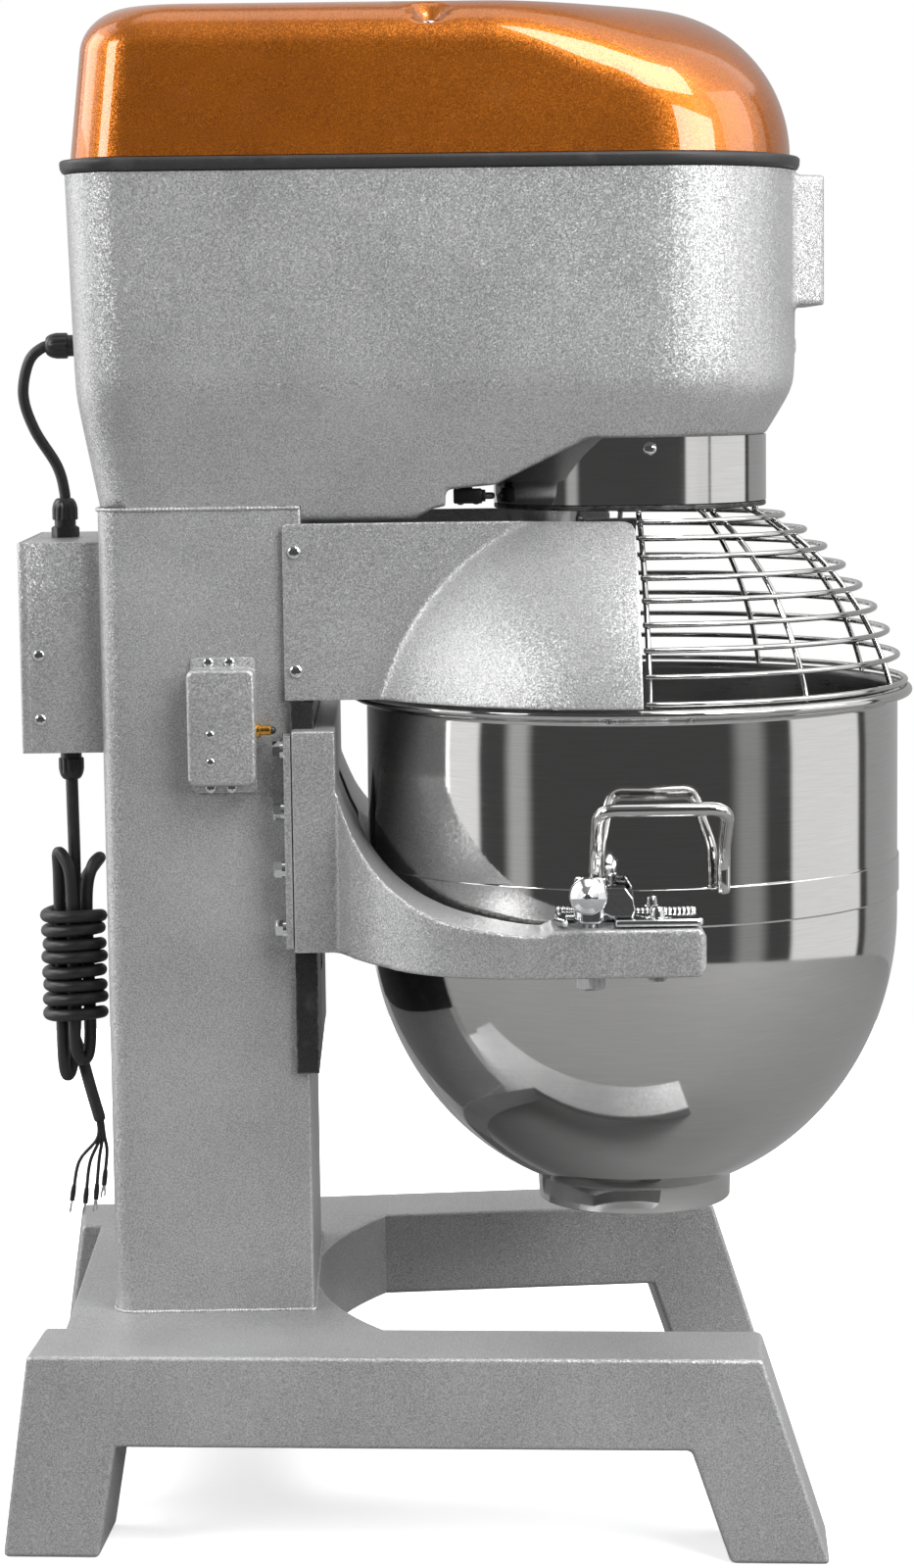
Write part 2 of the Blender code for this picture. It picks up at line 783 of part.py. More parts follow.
def make_planetary():
    planet = pivot_at("planet_axis", (BOWL_X, 0, 0.9))
    ring_radius = PLANET_MODULE * RING_TEETH / 2
    ring_gear = plate(
        "ring_gear",
        [
            circle(BOWL_X, 0, 0.1122, 40),
            gear_outline(
                RING_TEETH,
                ring_radius,
                -0.0028,
                0.0050,
                centre=(BOWL_X, 0),
                phase=math.pi / RING_TEETH,
            ),
        ],
        0.898,
        0.922,
    )
    finish(ring_gear, "steel")

    main_shaft = cylinder("main_shaft", 0.0200, (BOWL_X, 0, 0.880), (BOWL_X, 0, 1.050), 24)
    finish(main_shaft, "steel", planet, 40)
    main_gear = plate(
        "main_gear",
        [
            gear_outline(
                MAIN_TEETH,
                DRIVE_MODULE * MAIN_TEETH / 2,
                0.0030,
                -0.0055,
                centre=(BOWL_X, 0),
                phase=math.pi,
            ),
            circle(BOWL_X, 0, 0.0206, 24),
        ],
        0.950,
        0.976,
    )
    finish(main_gear, "steel", planet)

    carrier = turned(
        "planet_carrier",
        [
            (0.0, 0.878),
            (0.0206, 0.878),
            (0.0206, 0.932),
            (0.036, 0.932),
            (0.036, 0.886),
            (0.1105, 0.886),
            (0.1105, 0.864),
            (0.030, 0.858),
            (0.0, 0.858),
        ],
        (BOWL_X, 0, 0),
        32,
        closed=False,
    )
    agitator_x = BOWL_X - ORBIT
    nose = cylinder("carrier_nose", 0.030, (agitator_x, 0, 0.826), (agitator_x, 0, 0.870), 28)
    bore = cylinder("carrier_bore", 0.0132, (agitator_x, 0, 0.80), (agitator_x, 0, 0.90), 24)
    unite(carrier, nose)
    cut(carrier, bore)
    finish(carrier, "steel", planet, 40)

    agitator = pivot_at("agitator_axis", (agitator_x, 0, 0.9))
    pinion = plate(
        "planet_pinion",
        [
            gear_outline(
                PLANET_TEETH,
                PLANET_MODULE * PLANET_TEETH / 2,
                0.0028,
                -0.0050,
                centre=(agitator_x, 0),
                phase=math.pi,
            ),
            circle(agitator_x, 0, 0.0129, 20),
        ],
        0.899,
        0.920,
    )
    finish(pinion, "steel", agitator)
    shaft = cylinder("agitator_shaft", 0.0122, (agitator_x, 0, 0.770), (agitator_x, 0, 0.926), 20)
    finish(shaft, "stainless", agitator, 40)
    make_dough_hook(agitator_x, agitator)


def make_dough_hook(axis_x, pivot):
    hub = cylinder("dough_hook", 0.021, (axis_x, 0, 0.742), (axis_x, 0, 0.800), 24)
    socket = cylinder("hook_socket", 0.0129, (axis_x, 0, 0.768), (axis_x, 0, 0.830), 24)
    path = [(axis_x, 0.0, 0.755), (axis_x, 0.0, 0.735)]
    steps = 16
    for i in range(1, steps + 1):
        t = i / steps
        reach = 0.092 * math.sin(math.pi * (0.90 * t)) ** 0.8
        turn = math.radians(200.0 + 300.0 * t)
        height = 0.735 - 0.420 * t
        path.append((axis_x + reach * math.cos(turn), reach * math.sin(turn), height))
    bar = rod("hook_bar", path, 0.0125, 1)
    cut(hub, socket)
    unite(hub, bar)
    finish(hub, "stainless", pivot, 50)


def make_gearbox_plate():
    gearbox_plate = plate(
        "gearbox_plate",
        [
            rectangle(-0.02, 0.215, -0.130, 0.130),
            circle(BOWL_X, 0, 0.0425, 32),
            circle(COUNTER_X, 0, 0.0140, 20),
        ],
        1.012,
        1.022,
    )
    finish(gearbox_plate, "steel")
    bearing = plate(
        "main_bearing",
        [circle(BOWL_X, 0, 0.0418, 32), circle(BOWL_X, 0, 0.0206, 24)],
        1.008,
        1.024,
    )
    finish(bearing, "steel", smooth_angle=40)


# ---------------------------------------------------------------- guard and shields


def guard_point(height_angle, around, inward=0.0):
    """A point on the guard's surface: degrees up its arc, and degrees round the bowl axis from +X."""
    up = math.radians(height_angle)
    radius = GUARD_ARC_OFFSET + (GUARD_ARC_RADIUS - inward) * math.cos(up)
    turn = math.radians(around)
    return (
        BOWL_X + radius * math.cos(turn),
        radius * math.sin(turn),
        GUARD_CENTRE_Z + (GUARD_ARC_RADIUS - inward) * math.sin(up),
    )


def make_guard():
    swing = pivot_at("guard_axis", (BOWL_X, 0, 0.86))
    ring = plate(
        "guard_ring",
        [circle(BOWL_X, 0, 0.1203, 32), circle(BOWL_X, 0, 0.1128, 32)],
        SKIRT_BOTTOM - 0.0048,
        SKIRT_BOTTOM - GAP,
    )
    finish(ring, "black_steel", swing)

    hoops = []
    for i in range(GUARD_HOOPS):
        up = GUARD_LOWEST + (GUARD_HIGHEST - GUARD_LOWEST) * i / (GUARD_HOOPS - 1)
        steps = 11 - i // 3         # smaller hoops need fewer sides
        path = [guard_point(up, -90.6 + 181.2 * k / steps) for k in range(steps + 1)]
        hoops.append(rod(f"guard_hoop_{i}", path, GUARD_WIRE, 0))
    inward = 1.5 * GUARD_WIRE
    ribs = []
    steps = 5
    top_radius = 0.1170
    lowest = GUARD_LOWEST - 0.3
    for i, around in enumerate(GUARD_RIBS):
        path = [
            guard_point(lowest + (GUARD_HIGHEST - lowest) * k / steps, around, inward)
            for k in range(steps + 1)
        ]
        turn = math.radians(around)
        for height in (SKIRT_BOTTOM - 0.0088, SKIRT_BOTTOM - 0.0052):
            path.append((BOWL_X + top_radius * math.cos(turn), top_radius * math.sin(turn), height))
        ribs.append(rod(f"guard_rib_{i}", path, GUARD_WIRE, 0))
    guard = ribs[0]
    guard.name = "wire_guard"
    unite(guard, *hoops, *ribs[1:])
    finish(guard, "stainless", swing, 60)


def make_shield(name, side):
    """Half of the rear guard: a flat cheek by the column that swells into part of a ball by the bowl."""
    centre = (BOWL_X, 0.0, SHIELD_CENTRE_Z)

    def slab(label, low, high, low_x, high_x, low_z, high_z):
        low_y, high_y = sorted((side * low, side * high))
        return box(f"{label}_{side}", (low_x, low_y, low_z), (high_x, high_y, high_z))

    def dome(label, radius):
        return ball(f"{label}_{side}", radius, centre, 24, 44)

    shield = dome("shield_ball", SHIELD_RADIUS)
    shield.name = name
    window = slab("shield_window", 0.10, 0.40, SHIELD_REAR_X, SHIELD_FRONT_X, SHIELD_BOTTOM, SHIELD_TOP)
    cheek = slab(
        "shield_cheek",
        0.12,
        SHIELD_FLAT + SHIELD_SHEET,
        SHIELD_REAR_X,
        SHIELD_FRONT_X,
        SHIELD_BOTTOM,
        SHIELD_TOP,
    )
    keep_inside(shield, window)
    unite(shield, cheek)
    cut(shield, slab("shield_room", 0.05, SHIELD_FLAT, -0.3, 0.3, 0.6, 0.9))
    cut(shield, dome("shield_hollow", SHIELD_RADIUS - SHIELD_SHEET))
    if side > 0:
        add_shield_tabs(shield, dome, slab)
    finish(shield, "silver_paint", smooth_angle=30)


def add_shield_tabs(shield, dome, slab):
    """Two guide tabs on a short flange inside the far shield; the closed guard ends over them."""
    flange = dome("tab_flange", 0.2685)
    keep_inside(flange, slab("flange_window", 0.05, 0.40, 0.112, 0.115, SHIELD_BOTTOM, SHIELD_TOP - 0.01))
    cut(flange, dome("flange_hollow", 0.2365))
    tabs = dome("guide_tabs", 0.2390)
    keep_inside(tabs, slab("tab_window", 0.05, 0.40, 0.113, 0.188, SHIELD_BOTTOM, SHIELD_TOP - 0.01))
    cut(tabs, dome("tab_hollow", 0.2360), slab("tab_gap", 0.05, 0.40, 0.165, 0.200, 0.757, 0.790))
    unite(shield, flange, tabs)


# ---------------------------------------------------------------- bowl and its yoke


def bowl_profile():
    """The bowl's closed outline: rolled bead, band, round bottom with a foot ring, then up inside."""
    bead = arc(BOWL_RIM_RADIUS, BOWL_RIM_Z, BOWL_BEAD, 120.0, -120.0, 4)
    wall = BOWL_RADIUS
    outside = [
        *bead,
        (wall, BOWL_RIM_Z - 0.009),
        (wall, BAND_HIGH + BAND_PROUD),
        (wall + BAND_PROUD, BAND_HIGH),
        (wall + BAND_PROUD, BAND_LOW),
        (wall, BAND_LOW - BAND_PROUD),
    ]
    for step in range(1, 7):
        radius = wall * math.cos(math.radians(step * 11.0))
        outside.append((radius, BOWL_KNEE_Z - BOWL_DEPTH_BELOW_KNEE * math.sqrt(1 - (radius / wall) ** 2)))
    ring = FOOT_RING_RADIUS
    outside += [
        (ring, round_bottom(ring, wall)),
        (ring, FOOT_RING_BOTTOM),
        (ring - 0.004, FOOT_RING_BOTTOM),
        (ring - 0.004, round_bottom(ring - 0.004, wall)),
        (0.045, round_bottom(0.045, wall)),
        (0.0, BOWL_KNEE_Z - BOWL_DEPTH_BELOW_KNEE),
    ]
    inner_wall = wall - BOWL_SHEET
    inner_depth = BOWL_DEPTH_BELOW_KNEE - BOWL_SHEET
    inside = [(0.0, BOWL_KNEE_Z - inner_depth)]
    for step in range(5, -1, -1):
        radius = inner_wall * math.cos(math.radians(step * 14.0))
        inside.append((radius, BOWL_KNEE_Z - inner_depth * math.sqrt(1 - (radius / inner_wall) ** 2)))
    inside.append((inner_wall, BOWL_RIM_Z - 0.004))
    return outside, inside


def round_bottom(radius, wall):
    return BOWL_KNEE_Z - BOWL_DEPTH_BELOW_KNEE * math.sqrt(1 - (radius / wall) ** 2)


def bowl_ear(side):
    """A plate welded to the bowl's side: a hole for the locating pin and a notch for the clamp."""
    low_y, high_y = sorted((side * 0.2200, side * EAR_OUTER))
    ear = box(f"ear_{side}", (EAR_REAR_X, low_y, EAR_LOW), (EAR_FRONT_X, high_y, EAR_HIGH))
    pin_hole = cylinder(
        f"pin_hole_{side}", POST_HOLE, (PIN_X, side * CLAMP_Y, 0.50), (PIN_X, side * CLAMP_Y, 0.56), 16
    )
    notch_low, notch_high = sorted((side * 0.2520, side * 0.30))
    notch = box(
        f"clamp_notch_{side}",
        (CLAMP_X - 0.0165, notch_low, 0.50),
        (CLAMP_X + 0.0165, notch_high, 0.56),
    )
    hollow = BOWL_RADIUS - BOWL_SHEET / 2
    bowl_room = cylinder(f"bowl_room_{side}", hollow, (BOWL_X, 0, 0.50), (BOWL_X, 0, 0.60), 44)
    cut(ear, pin_hole, notch, bowl_room)
    return ear


def make_bowl(lift):
    outside, inside = bowl_profile()
    bowl = turned("bowl", outside + inside, (BOWL_X, 0, 0), 30)
    for side in (-1, 1):
        unite(bowl, bowl_ear(side))
    finish(bowl, "stainless", lift, 35)

    for side, label in ((-1, "left"), (1, "right")):
        rear, front = BOWL_X - 0.046, BOWL_X + 0.060
        grip_y, root_y = side * 0.290, side * 0.2435
        path = [
            (rear, root_y, 0.556),
            (rear, root_y, 0.578),
            (rear, side * 0.262, 0.603),
            (rear + 0.002, side * 0.285, 0.620),
            (rear + 0.010, grip_y, 0.6255),
            (front - 0.010, grip_y, 0.6255),
            (front - 0.002, side * 0.285, 0.620),
            (front, side * 0.262, 0.603),
            (front, root_y, 0.578),
            (front, root_y, 0.556),
        ]
        handle = rod(f"{label}_bowl_handle", path, 0.0055, 2)
        finish(handle, "stainless", lift, 60)


def make_yoke(lift):
    yoke = box(
        "bowl_yoke",
        (WAY_REAR_X, -YOKE_HALF, YOKE_BOTTOM),
        (YOKE_FRONT_X, YOKE_HALF, YOKE_TOP),
    )
    channel = box(
        "way_channel",
        (-0.2, -WAY_HALF - 2 * GAP, 0.4),
        (WAY_FRONT_X + GAP, WAY_HALF + 2 * GAP, 0.8),
    )
    cut(yoke, channel)
    side_view = [
        (YOKE_FRONT_X - 0.012, ARM_BOTTOM + 0.004),
        (YOKE_FRONT_X + 0.06, ARM_BOTTOM),
        (ARM_TIP_X - 0.006, ARM_BOTTOM),
        (ARM_TIP_X, ARM_BOTTOM + 0.006),
        (ARM_TIP_X, ARM_TOP - 0.006),
        (ARM_TIP_X - 0.006, ARM_TOP),
        (0.066, ARM_TOP),
        (0.058, ARM_TOP - 0.004),
        (0.030, 0.5245),
        (-0.020, 0.5330),
        (-0.055, 0.5480),
        (-0.080, 0.5690),
        (-0.098, 0.5950),
        (YOKE_FRONT_X, 0.6300),
        (YOKE_FRONT_X - 0.012, 0.6300),
    ]
    # Plan view of one arm, from the yoke block round the bowl to the tip.
    inner = arc(BOWL_X, 0.0, ARM_INNER, 175.0, 90.0, 12)
    plan = [
        (YOKE_FRONT_X - 0.012, 0.0215),
        *inner,
        (ARM_TIP_X, ARM_INNER),
        (ARM_TIP_X, ARM_OUTER),
        (0.060, ARM_OUTER),
        (0.010, 0.286),
        (-0.035, 0.266),
        (-0.075, 0.226),
        (-0.098, 0.190),
        (YOKE_FRONT_X, YOKE_HALF - 0.001),
        (YOKE_FRONT_X - 0.012, 0.150),
    ]
    additions = []
    for side in (-1, 1):
        low_y, high_y = sorted((side * 0.01, side * 0.32))
        arm = side_plate(f"arm_{side}", side_view, low_y, high_y)
        top_view = plate(f"arm_plan_{side}", [[(x, side * y) for x, y in plan]], 0.45, 0.66)
        keep_inside(arm, top_view)
        additions.append(arm)
        pin = cylinder(
            f"locating_pin_{side}",
            0.0062,
            (PIN_X, side * CLAMP_Y, ARM_TOP - 0.02),
            (PIN_X, side * CLAMP_Y, 0.543),
            16,
            end_radius=0.0050,
        )
        additions.append(pin)
    unite(yoke, *additions)
    for side in (-1, 1):
        post_hole = cylinder(
            f"post_hole_{side}",
            POST_HOLE,
            (CLAMP_X, side * CLAMP_Y, 0.45),
            (CLAMP_X, side * CLAMP_Y, 0.60),
            16,
        )
        cut(yoke, post_hole)
    finish(yoke, "silver_paint", lift)

    for side, label in ((-1, "left"), (1, "right")):
        low_y, high_y = sorted((side * (COLUMN_HALF + 0.0015), side * (YOKE_HALF - 0.001)))
        gib = box(
            f"{label}_gib_plate",
            (WAY_REAR_X - 0.0066, low_y, YOKE_BOTTOM + 0.004),
            (WAY_REAR_X - 0.0006, high_y, YOKE_TOP - 0.004),
        )
        finish(gib, "steel", lift)

    nut = box("lift_nut", (SCREW_X - 0.028, -0.028, 0.600), (SCREW_X + 0.028, 0.028, 0.640))
    neck = box("nut_neck", (SCREW_X + 0.02, -0.020, 0.606), (WAY_FRONT_X, 0.020, 0.634))
    nut_bore = cylinder("nut_bore", 0.0146, (SCREW_X, 0, 0.55), (SCREW_X, 0, 0.70), 24)
    unite(nut, neck)
    cut(nut, nut_bore)
    finish(nut, "bronze", lift)


def hexagon(centre_x, centre_y, across_flats):
    return circle(centre_x, centre_y, across_flats / math.sqrt(3), 6)


def make_clamp(label, side, lift):
    """A bolt through the yoke's arm and the lever that turns on it to hold the bowl's ear down."""
    y = side * CLAMP_Y
    post = cylinder(f"{label}_clamp_post", POST_RADIUS, (CLAMP_X, y, 0.474), (CLAMP_X, y, 0.560), 16)
    nut = plate(f"{label}_post_nut", [hexagon(CLAMP_X, y, 0.022)], 0.4755, ARM_BOTTOM - GAP)
    unite(post, nut)
    finish(post, "steel", lift, 40)

    swing = pivot_at(f"{label}_clamp_axis", (CLAMP_X, y, 0.55))
    swing.parent = lift
    swing.matrix_parent_inverse = Matrix.Translation(lift.location).inverted()
    block = cylinder(
        f"{label}_clamp_lever", 0.0136, (CLAMP_X, y, ARM_TOP + 0.0035), (CLAMP_X, y, 0.5690), 20
    )
    bore = cylinder(f"{label}_clamp_bore", 0.0067, (CLAMP_X, y, 0.50), (CLAMP_X, y, 0.564), 16)
    out_y = side * (CLAMP_Y + 0.036)
    stem = cylinder(
        f"{label}_clamp_stem",
        0.0095,
        (CLAMP_X, y, 0.556),
        (CLAMP_X - 0.004, out_y, 0.558),
        16,
    )
    knob = ball(f"{label}_clamp_knob", 0.0160, (CLAMP_X - 0.004, side * 0.3045, 0.558), 6, 12)
    finger = box(
        f"{label}_clamp_finger",
        (CLAMP_X + 0.010, y - 0.009, ARM_TOP + 0.0080),
        (CLAMP_X + 0.036, y + 0.009, 0.5600),
    )
    unite(block, stem, knob, finger)
    cut(block, bore)
    parent_to(block, swing)
    return finish(block, "stainless", smooth_angle=40)


# ---------------------------------------------------------------- lift drive


def bevel_gear(name, phase):
    """A straight bevel gear with its apex at the local origin and its big end below it."""
    big = gear_outline(BEVEL_TEETH, BEVEL_RADIUS, 0.0016, -0.0036, phase=phase)
    small_end = 0.70
    rings = [
        [(x, y, -BEVEL_RADIUS) for x, y in big],
        [(x * small_end, y * small_end, -BEVEL_RADIUS * small_end) for x, y in big],
    ]
    return loft(name, rings)


def make_lift_drive():
    screw_pivot = pivot_at("screw_axis", (SCREW_X, 0, 0.6))
    screw = turned(
        "lift_screw",
        [
            (0.0, 0.762),
            (SCREW_RADIUS, 0.762),
            (SCREW_RADIUS, 0.432),
            (0.0090, 0.432),
            (0.0090, 0.410),
            (0.0, 0.410),
        ],
        (SCREW_X, 0, 0),
        20,
        closed=False,
    )
    screw_gear = bevel_gear("screw_bevel_gear", math.pi / 2)
    screw_gear.location = (SCREW_X, 0, HANDWHEEL_Z)
    unite(screw, screw_gear)
    finish(screw, "steel", screw_pivot, 30)

    support = plate(
        "screw_support",
        [rectangle(-0.2995, -0.1615, -0.060, 0.060), circle(SCREW_X, 0, 0.0096, 20)],
        0.408,
        0.430,
    )
    finish(support, "steel")

    wheel_pivot = pivot_at("handwheel_axis", (SCREW_X, HANDWHEEL_Y, HANDWHEEL_Z))
    shaft = cylinder(
        "handwheel_shaft",
        0.0090,
        (SCREW_X, 0.026, HANDWHEEL_Z),
        (SCREW_X, HANDWHEEL_Y + 0.004, HANDWHEEL_Z),
        20,
    )
    wheel_gear = bevel_gear("wheel_bevel_gear", -math.pi / 2 + math.pi / BEVEL_TEETH)
    wheel_gear.data.transform(Matrix.Rotation(math.radians(90), 4, "X"))
    wheel_gear.location = (SCREW_X, 0, HANDWHEEL_Z)
    unite(shaft, wheel_gear)
    finish(shaft, "steel", wheel_pivot, 30)
    make_handwheel(wheel_pivot)


def make_handwheel(wheel_pivot):
    minor = 0.0085
    rim = turned(
        "handwheel",
        [(x, z) for x, z in reversed(circle(HANDWHEEL_RADIUS, 0.0, minor, 6))],
        (0, 0, 0),
        24,
    )
    rim.data.transform(Matrix.Rotation(math.radians(-90), 4, "X"))
    rim.location = (SCREW_X, HANDWHEEL_Y, HANDWHEEL_Z)
    hub = cylinder(
        "wheel_hub",
        0.019,
        (SCREW_X, HANDWHEEL_Y - 0.024, HANDWHEEL_Z),
        (SCREW_X, HANDWHEEL_Y + 0.011, HANDWHEEL_Z),
        20,
    )
    spokes = []
    for i in range(3):
        angle = math.radians(90 + 120 * i)
        spokes.append(
            cylinder(
                f"wheel_spoke_{i}",
                0.0062,
                (
                    SCREW_X + 0.010 * math.cos(angle),
                    HANDWHEEL_Y - 0.004,
                    HANDWHEEL_Z + 0.010 * math.sin(angle),
                ),
                (
                    SCREW_X + HANDWHEEL_RADIUS * math.cos(angle),
                    HANDWHEEL_Y,
                    HANDWHEEL_Z + HANDWHEEL_RADIUS * math.sin(angle),
                ),
                10,
            )
        )
    bore = cylinder(
        "wheel_bore",
        0.0095,
        (SCREW_X, HANDWHEEL_Y - 0.05, HANDWHEEL_Z),
        (SCREW_X, HANDWHEEL_Y + 0.0045, HANDWHEEL_Z),
        20,
    )
    spindle = cylinder(
        "grip_spindle",
        0.0040,
        (SCREW_X + HANDWHEEL_RADIUS, HANDWHEEL_Y, HANDWHEEL_Z),
        (SCREW_X + HANDWHEEL_RADIUS, HANDWHEEL_Y + 0.062, HANDWHEEL_Z),
        12,
    )
    unite(rim, hub, *spokes, spindle)
    cut(rim, bore)
    finish(rim, "black_steel", wheel_pivot, 40)

    grip_pivot = pivot_at("grip_axis", (SCREW_X + HANDWHEEL_RADIUS, HANDWHEEL_Y, HANDWHEEL_Z))
    grip = turned(
        "handwheel_grip",
        [
            (0.0, 0.072),
            (0.0085, 0.072),
            (0.0125, 0.060),
            (0.0105, 0.040),
            (0.0080, 0.012),
            (0.0046, 0.012),
            (0.0046, 0.064),
            (0.0, 0.064),
        ],
        (0, 0, 0),
        16,
        closed=False,
    )
    grip.data.transform(Matrix.Rotation(math.radians(-90), 4, "X"))
    grip.location = (SCREW_X + HANDWHEEL_RADIUS, HANDWHEEL_Y, HANDWHEEL_Z)
    finish(grip, "rubber", grip_pivot, 40)


# ---------------------------------------------------------------- controls and electrics


def make_electrical_box():
    front_x = COLUMN_REAR_X - GAP
    rear_x = BOX_REAR_X + BOX_SHEET + GAP
    tray_outline = [
        (rear_x, BOX_BOTTOM),
        (front_x, BOX_BOTTOM),
        (front_x, BOX_TOP),
        (rear_x, BOX_TOP),
        (rear_x, BOX_TOP - BOX_SHEET),
        (front_x - BOX_SHEET, BOX_TOP - BOX_SHEET),
        (front_x - BOX_SHEET, BOX_BOTTOM + BOX_SHEET),
        (rear_x, BOX_BOTTOM + BOX_SHEET),
    ]
    tray = side_plate("electrical_box", tray_outline, -BOX_HALF, BOX_HALF)
    for label, z in (("top", BOX_TOP), ("bottom", BOX_BOTTOM)):
        ends = ((BOX_GLAND_X, 0, z - 0.01), (BOX_GLAND_X, 0, z + 0.01))
        cut(tray, cylinder(f"{label}_cable_hole", 0.0075, *ends, 16))
    finish(tray, "silver_paint")

    lid_front_x = front_x - 0.0005
    lid_half = BOX_HALF + GAP
    lid_outline = [
        (BOX_REAR_X, -lid_half - BOX_SHEET),
        (lid_front_x, -lid_half - BOX_SHEET),
        (lid_front_x, -lid_half),
        (BOX_REAR_X + BOX_SHEET, -lid_half),
        (BOX_REAR_X + BOX_SHEET, lid_half),
        (lid_front_x, lid_half),
        (lid_front_x, lid_half + BOX_SHEET),
        (BOX_REAR_X, lid_half + BOX_SHEET),
    ]
    lid = plate("electrical_box_lid", [lid_outline], BOX_BOTTOM, BOX_TOP)
    finish(lid, "silver_paint")


def make_glands():
    box_top = gland_solid("box_top_gland", CABLE_RADIUS)
    box_top.location = (BOX_GLAND_X, 0, BOX_TOP + GAP)
    box_bottom = gland_solid("box_bottom_gland", CORD_RADIUS)
    box_bottom.data.transform(Matrix.Rotation(math.pi, 4, "X"))
    box_bottom.location = (BOX_GLAND_X, 0, BOX_BOTTOM - GAP)
    head_gland = gland_solid("head_gland", CABLE_RADIUS)
    head_gland.data.transform(Matrix.Rotation(math.radians(-90), 4, "Y"))
    head_gland.location = (-0.3290, 0, 1.008)
    for gland in (box_top, box_bottom, head_gland):
        finish(gland, "rubber", smooth_angle=40)


def make_link_cable():
    link = smooth_path(
        [
            (-0.340, 0, 1.008),
            (-0.354, 0, 1.008),
            (-0.367, 0, 1.007),
            (-0.379, 0, 0.994),
            (-0.384, 0, 0.965),
            (-0.375, 0, 0.935),
            (-0.356, 0, 0.903),
            (-0.350, 0, 0.880),
            (-0.350, 0, 0.865),
            (-0.350, 0, 0.850),
        ],
        3,
    )
    link_cable = rod("link_cable", link, CABLE_RADIUS, 1)
    finish(link_cable, "rubber", smooth_angle=60)


def gland_solid(name, cable_radius):
    """A cable gland standing on its local origin: hexagon foot, body and domed nut, with a bore."""
    bore = cable_radius + 0.0010
    profile = [
        (bore, 0.034),
        (0.0085, 0.034),
        (0.0105, 0.028),
        (0.0110, 0.016),
        (0.0095, 0.015),
        (0.0095, 0.012),
        (0.0118, 0.011),
        (0.0118, 0.0),
        (bore, 0.0),
    ]
    return turned(name, profile, (0, 0, 0), 12)


def make_power_cord():
    """The mains cord: down from the box, folded twice inside its hank, wrapped round it, then a tail."""
    near = -HANK_STRAND
    folds = smooth_path(
        [
            (BOX_GLAND_X, 0.0, 0.655),
            (BOX_GLAND_X, 0.0, 0.635),
            (BOX_GLAND_X, 0.003, 0.600),
            (HANK_X, HANK_STRAND, 0.545),
            (HANK_X, HANK_STRAND, 0.450),
            (HANK_X - 0.004, HANK_STRAND, 0.375),
            (HANK_X - 0.009, 0.006, 0.355),
            (HANK_X - HANK_STRAND, 0.0, 0.375),
            (HANK_X - HANK_STRAND, 0.0, 0.450),
            (HANK_X - HANK_STRAND, 0.0, 0.535),
            (HANK_X - 0.0115, 0.4 * near, 0.559),
            (HANK_X - 0.002, near, 0.545),
            (HANK_X, near, 0.520),
            (HANK_X, near, 0.450),
            (HANK_X, near, 0.385),
            (HANK_X + 0.008, 0.5 * near, 0.372),
            (HANK_X + HANK_STRAND, 0.0, 0.390),
            (HANK_X + HANK_STRAND, 0.0, 0.450),
            (HANK_X + HANK_STRAND, 0.0, 0.520),
            (HANK_X + 0.0175, 0.004, 0.545),
            (HANK_X + 0.0235, 0.014, 0.5515),
            (HANK_X + 0.0150, 0.024, 0.540),
        ],
        2,
    )
    turns = HANK_WRAPS * 6
    coil = []
    for i in range(turns + 1):
        angle = math.pi / 2 + 2 * math.pi * HANK_WRAPS * i / turns
        height = HANK_TOP + (HANK_BOTTOM - HANK_TOP) * i / turns
        coil.append((HANK_X + HANK_WRAP * math.cos(angle), HANK_WRAP * math.sin(angle), height))
    tail = smooth_path(
        [
            (HANK_X - 0.006, HANK_WRAP, 0.395),
            (HANK_X + 0.002, HANK_WRAP - 0.003, 0.370),
            (HANK_X + 0.010, 0.014, 0.342),
            (HANK_X + 0.018, 0.008, 0.315),
        ],
        2,
    )
    cord = rod("power_cord", [*folds, *coil, *tail], CORD_RADIUS, 1)
    finish(cord, "rubber", smooth_angle=60)


def make_limit_switch():
    against = -COLUMN_HALF - GAP
    case = box("limit_switch_box", (-0.2365, -0.1652, 0.635), (-0.1785, against, 0.734))
    flange = box("switch_flange", (-0.234, -0.1410, 0.6267), (-0.179, against, 0.7425))
    hole_ends = ((-0.193, LIMIT_Y, LIMIT_Z), (-0.170, LIMIT_Y, LIMIT_Z))
    unite(case, flange)
    cut(case, cylinder("plunger_hole", 0.0050, *hole_ends, 16))
    finish(case, "silver_paint")
    press = pivot_at("limit_plunger_axis", (-0.179, LIMIT_Y, LIMIT_Z))
    plunger_ends = ((-0.187, LIMIT_Y, LIMIT_Z), (-0.1615, LIMIT_Y, LIMIT_Z))
    plunger = cylinder("limit_plunger", 0.0043, *plunger_ends, 16)
    finish(plunger, "brass", press, 40)


def make_guard_switch():
    switch = box("guard_switch", (-0.0065, -0.034, 0.8660), (0.0215, -0.012, 0.8787))
    hanger = box("switch_hanger", (-0.002, -0.030, 0.8750), (0.010, -0.016, 0.8828))
    hole_ends = ((0.012, SENSOR_Y, SENSOR_Z), (0.030, SENSOR_Y, SENSOR_Z))
    unite(switch, hanger)
    cut(switch, cylinder("sensor_hole", 0.0036, *hole_ends, 12))
    finish(switch, "rubber")
    press = pivot_at("guard_plunger_axis", (0.020, SENSOR_Y, SENSOR_Z))
    plunger_ends = ((0.0155, SENSOR_Y, SENSOR_Z), (0.0300, SENSOR_Y, SENSOR_Z))
    plunger = cylinder("guard_switch_plunger", 0.0030, *plunger_ends, 12)
    finish(plunger, "steel", press, 40)


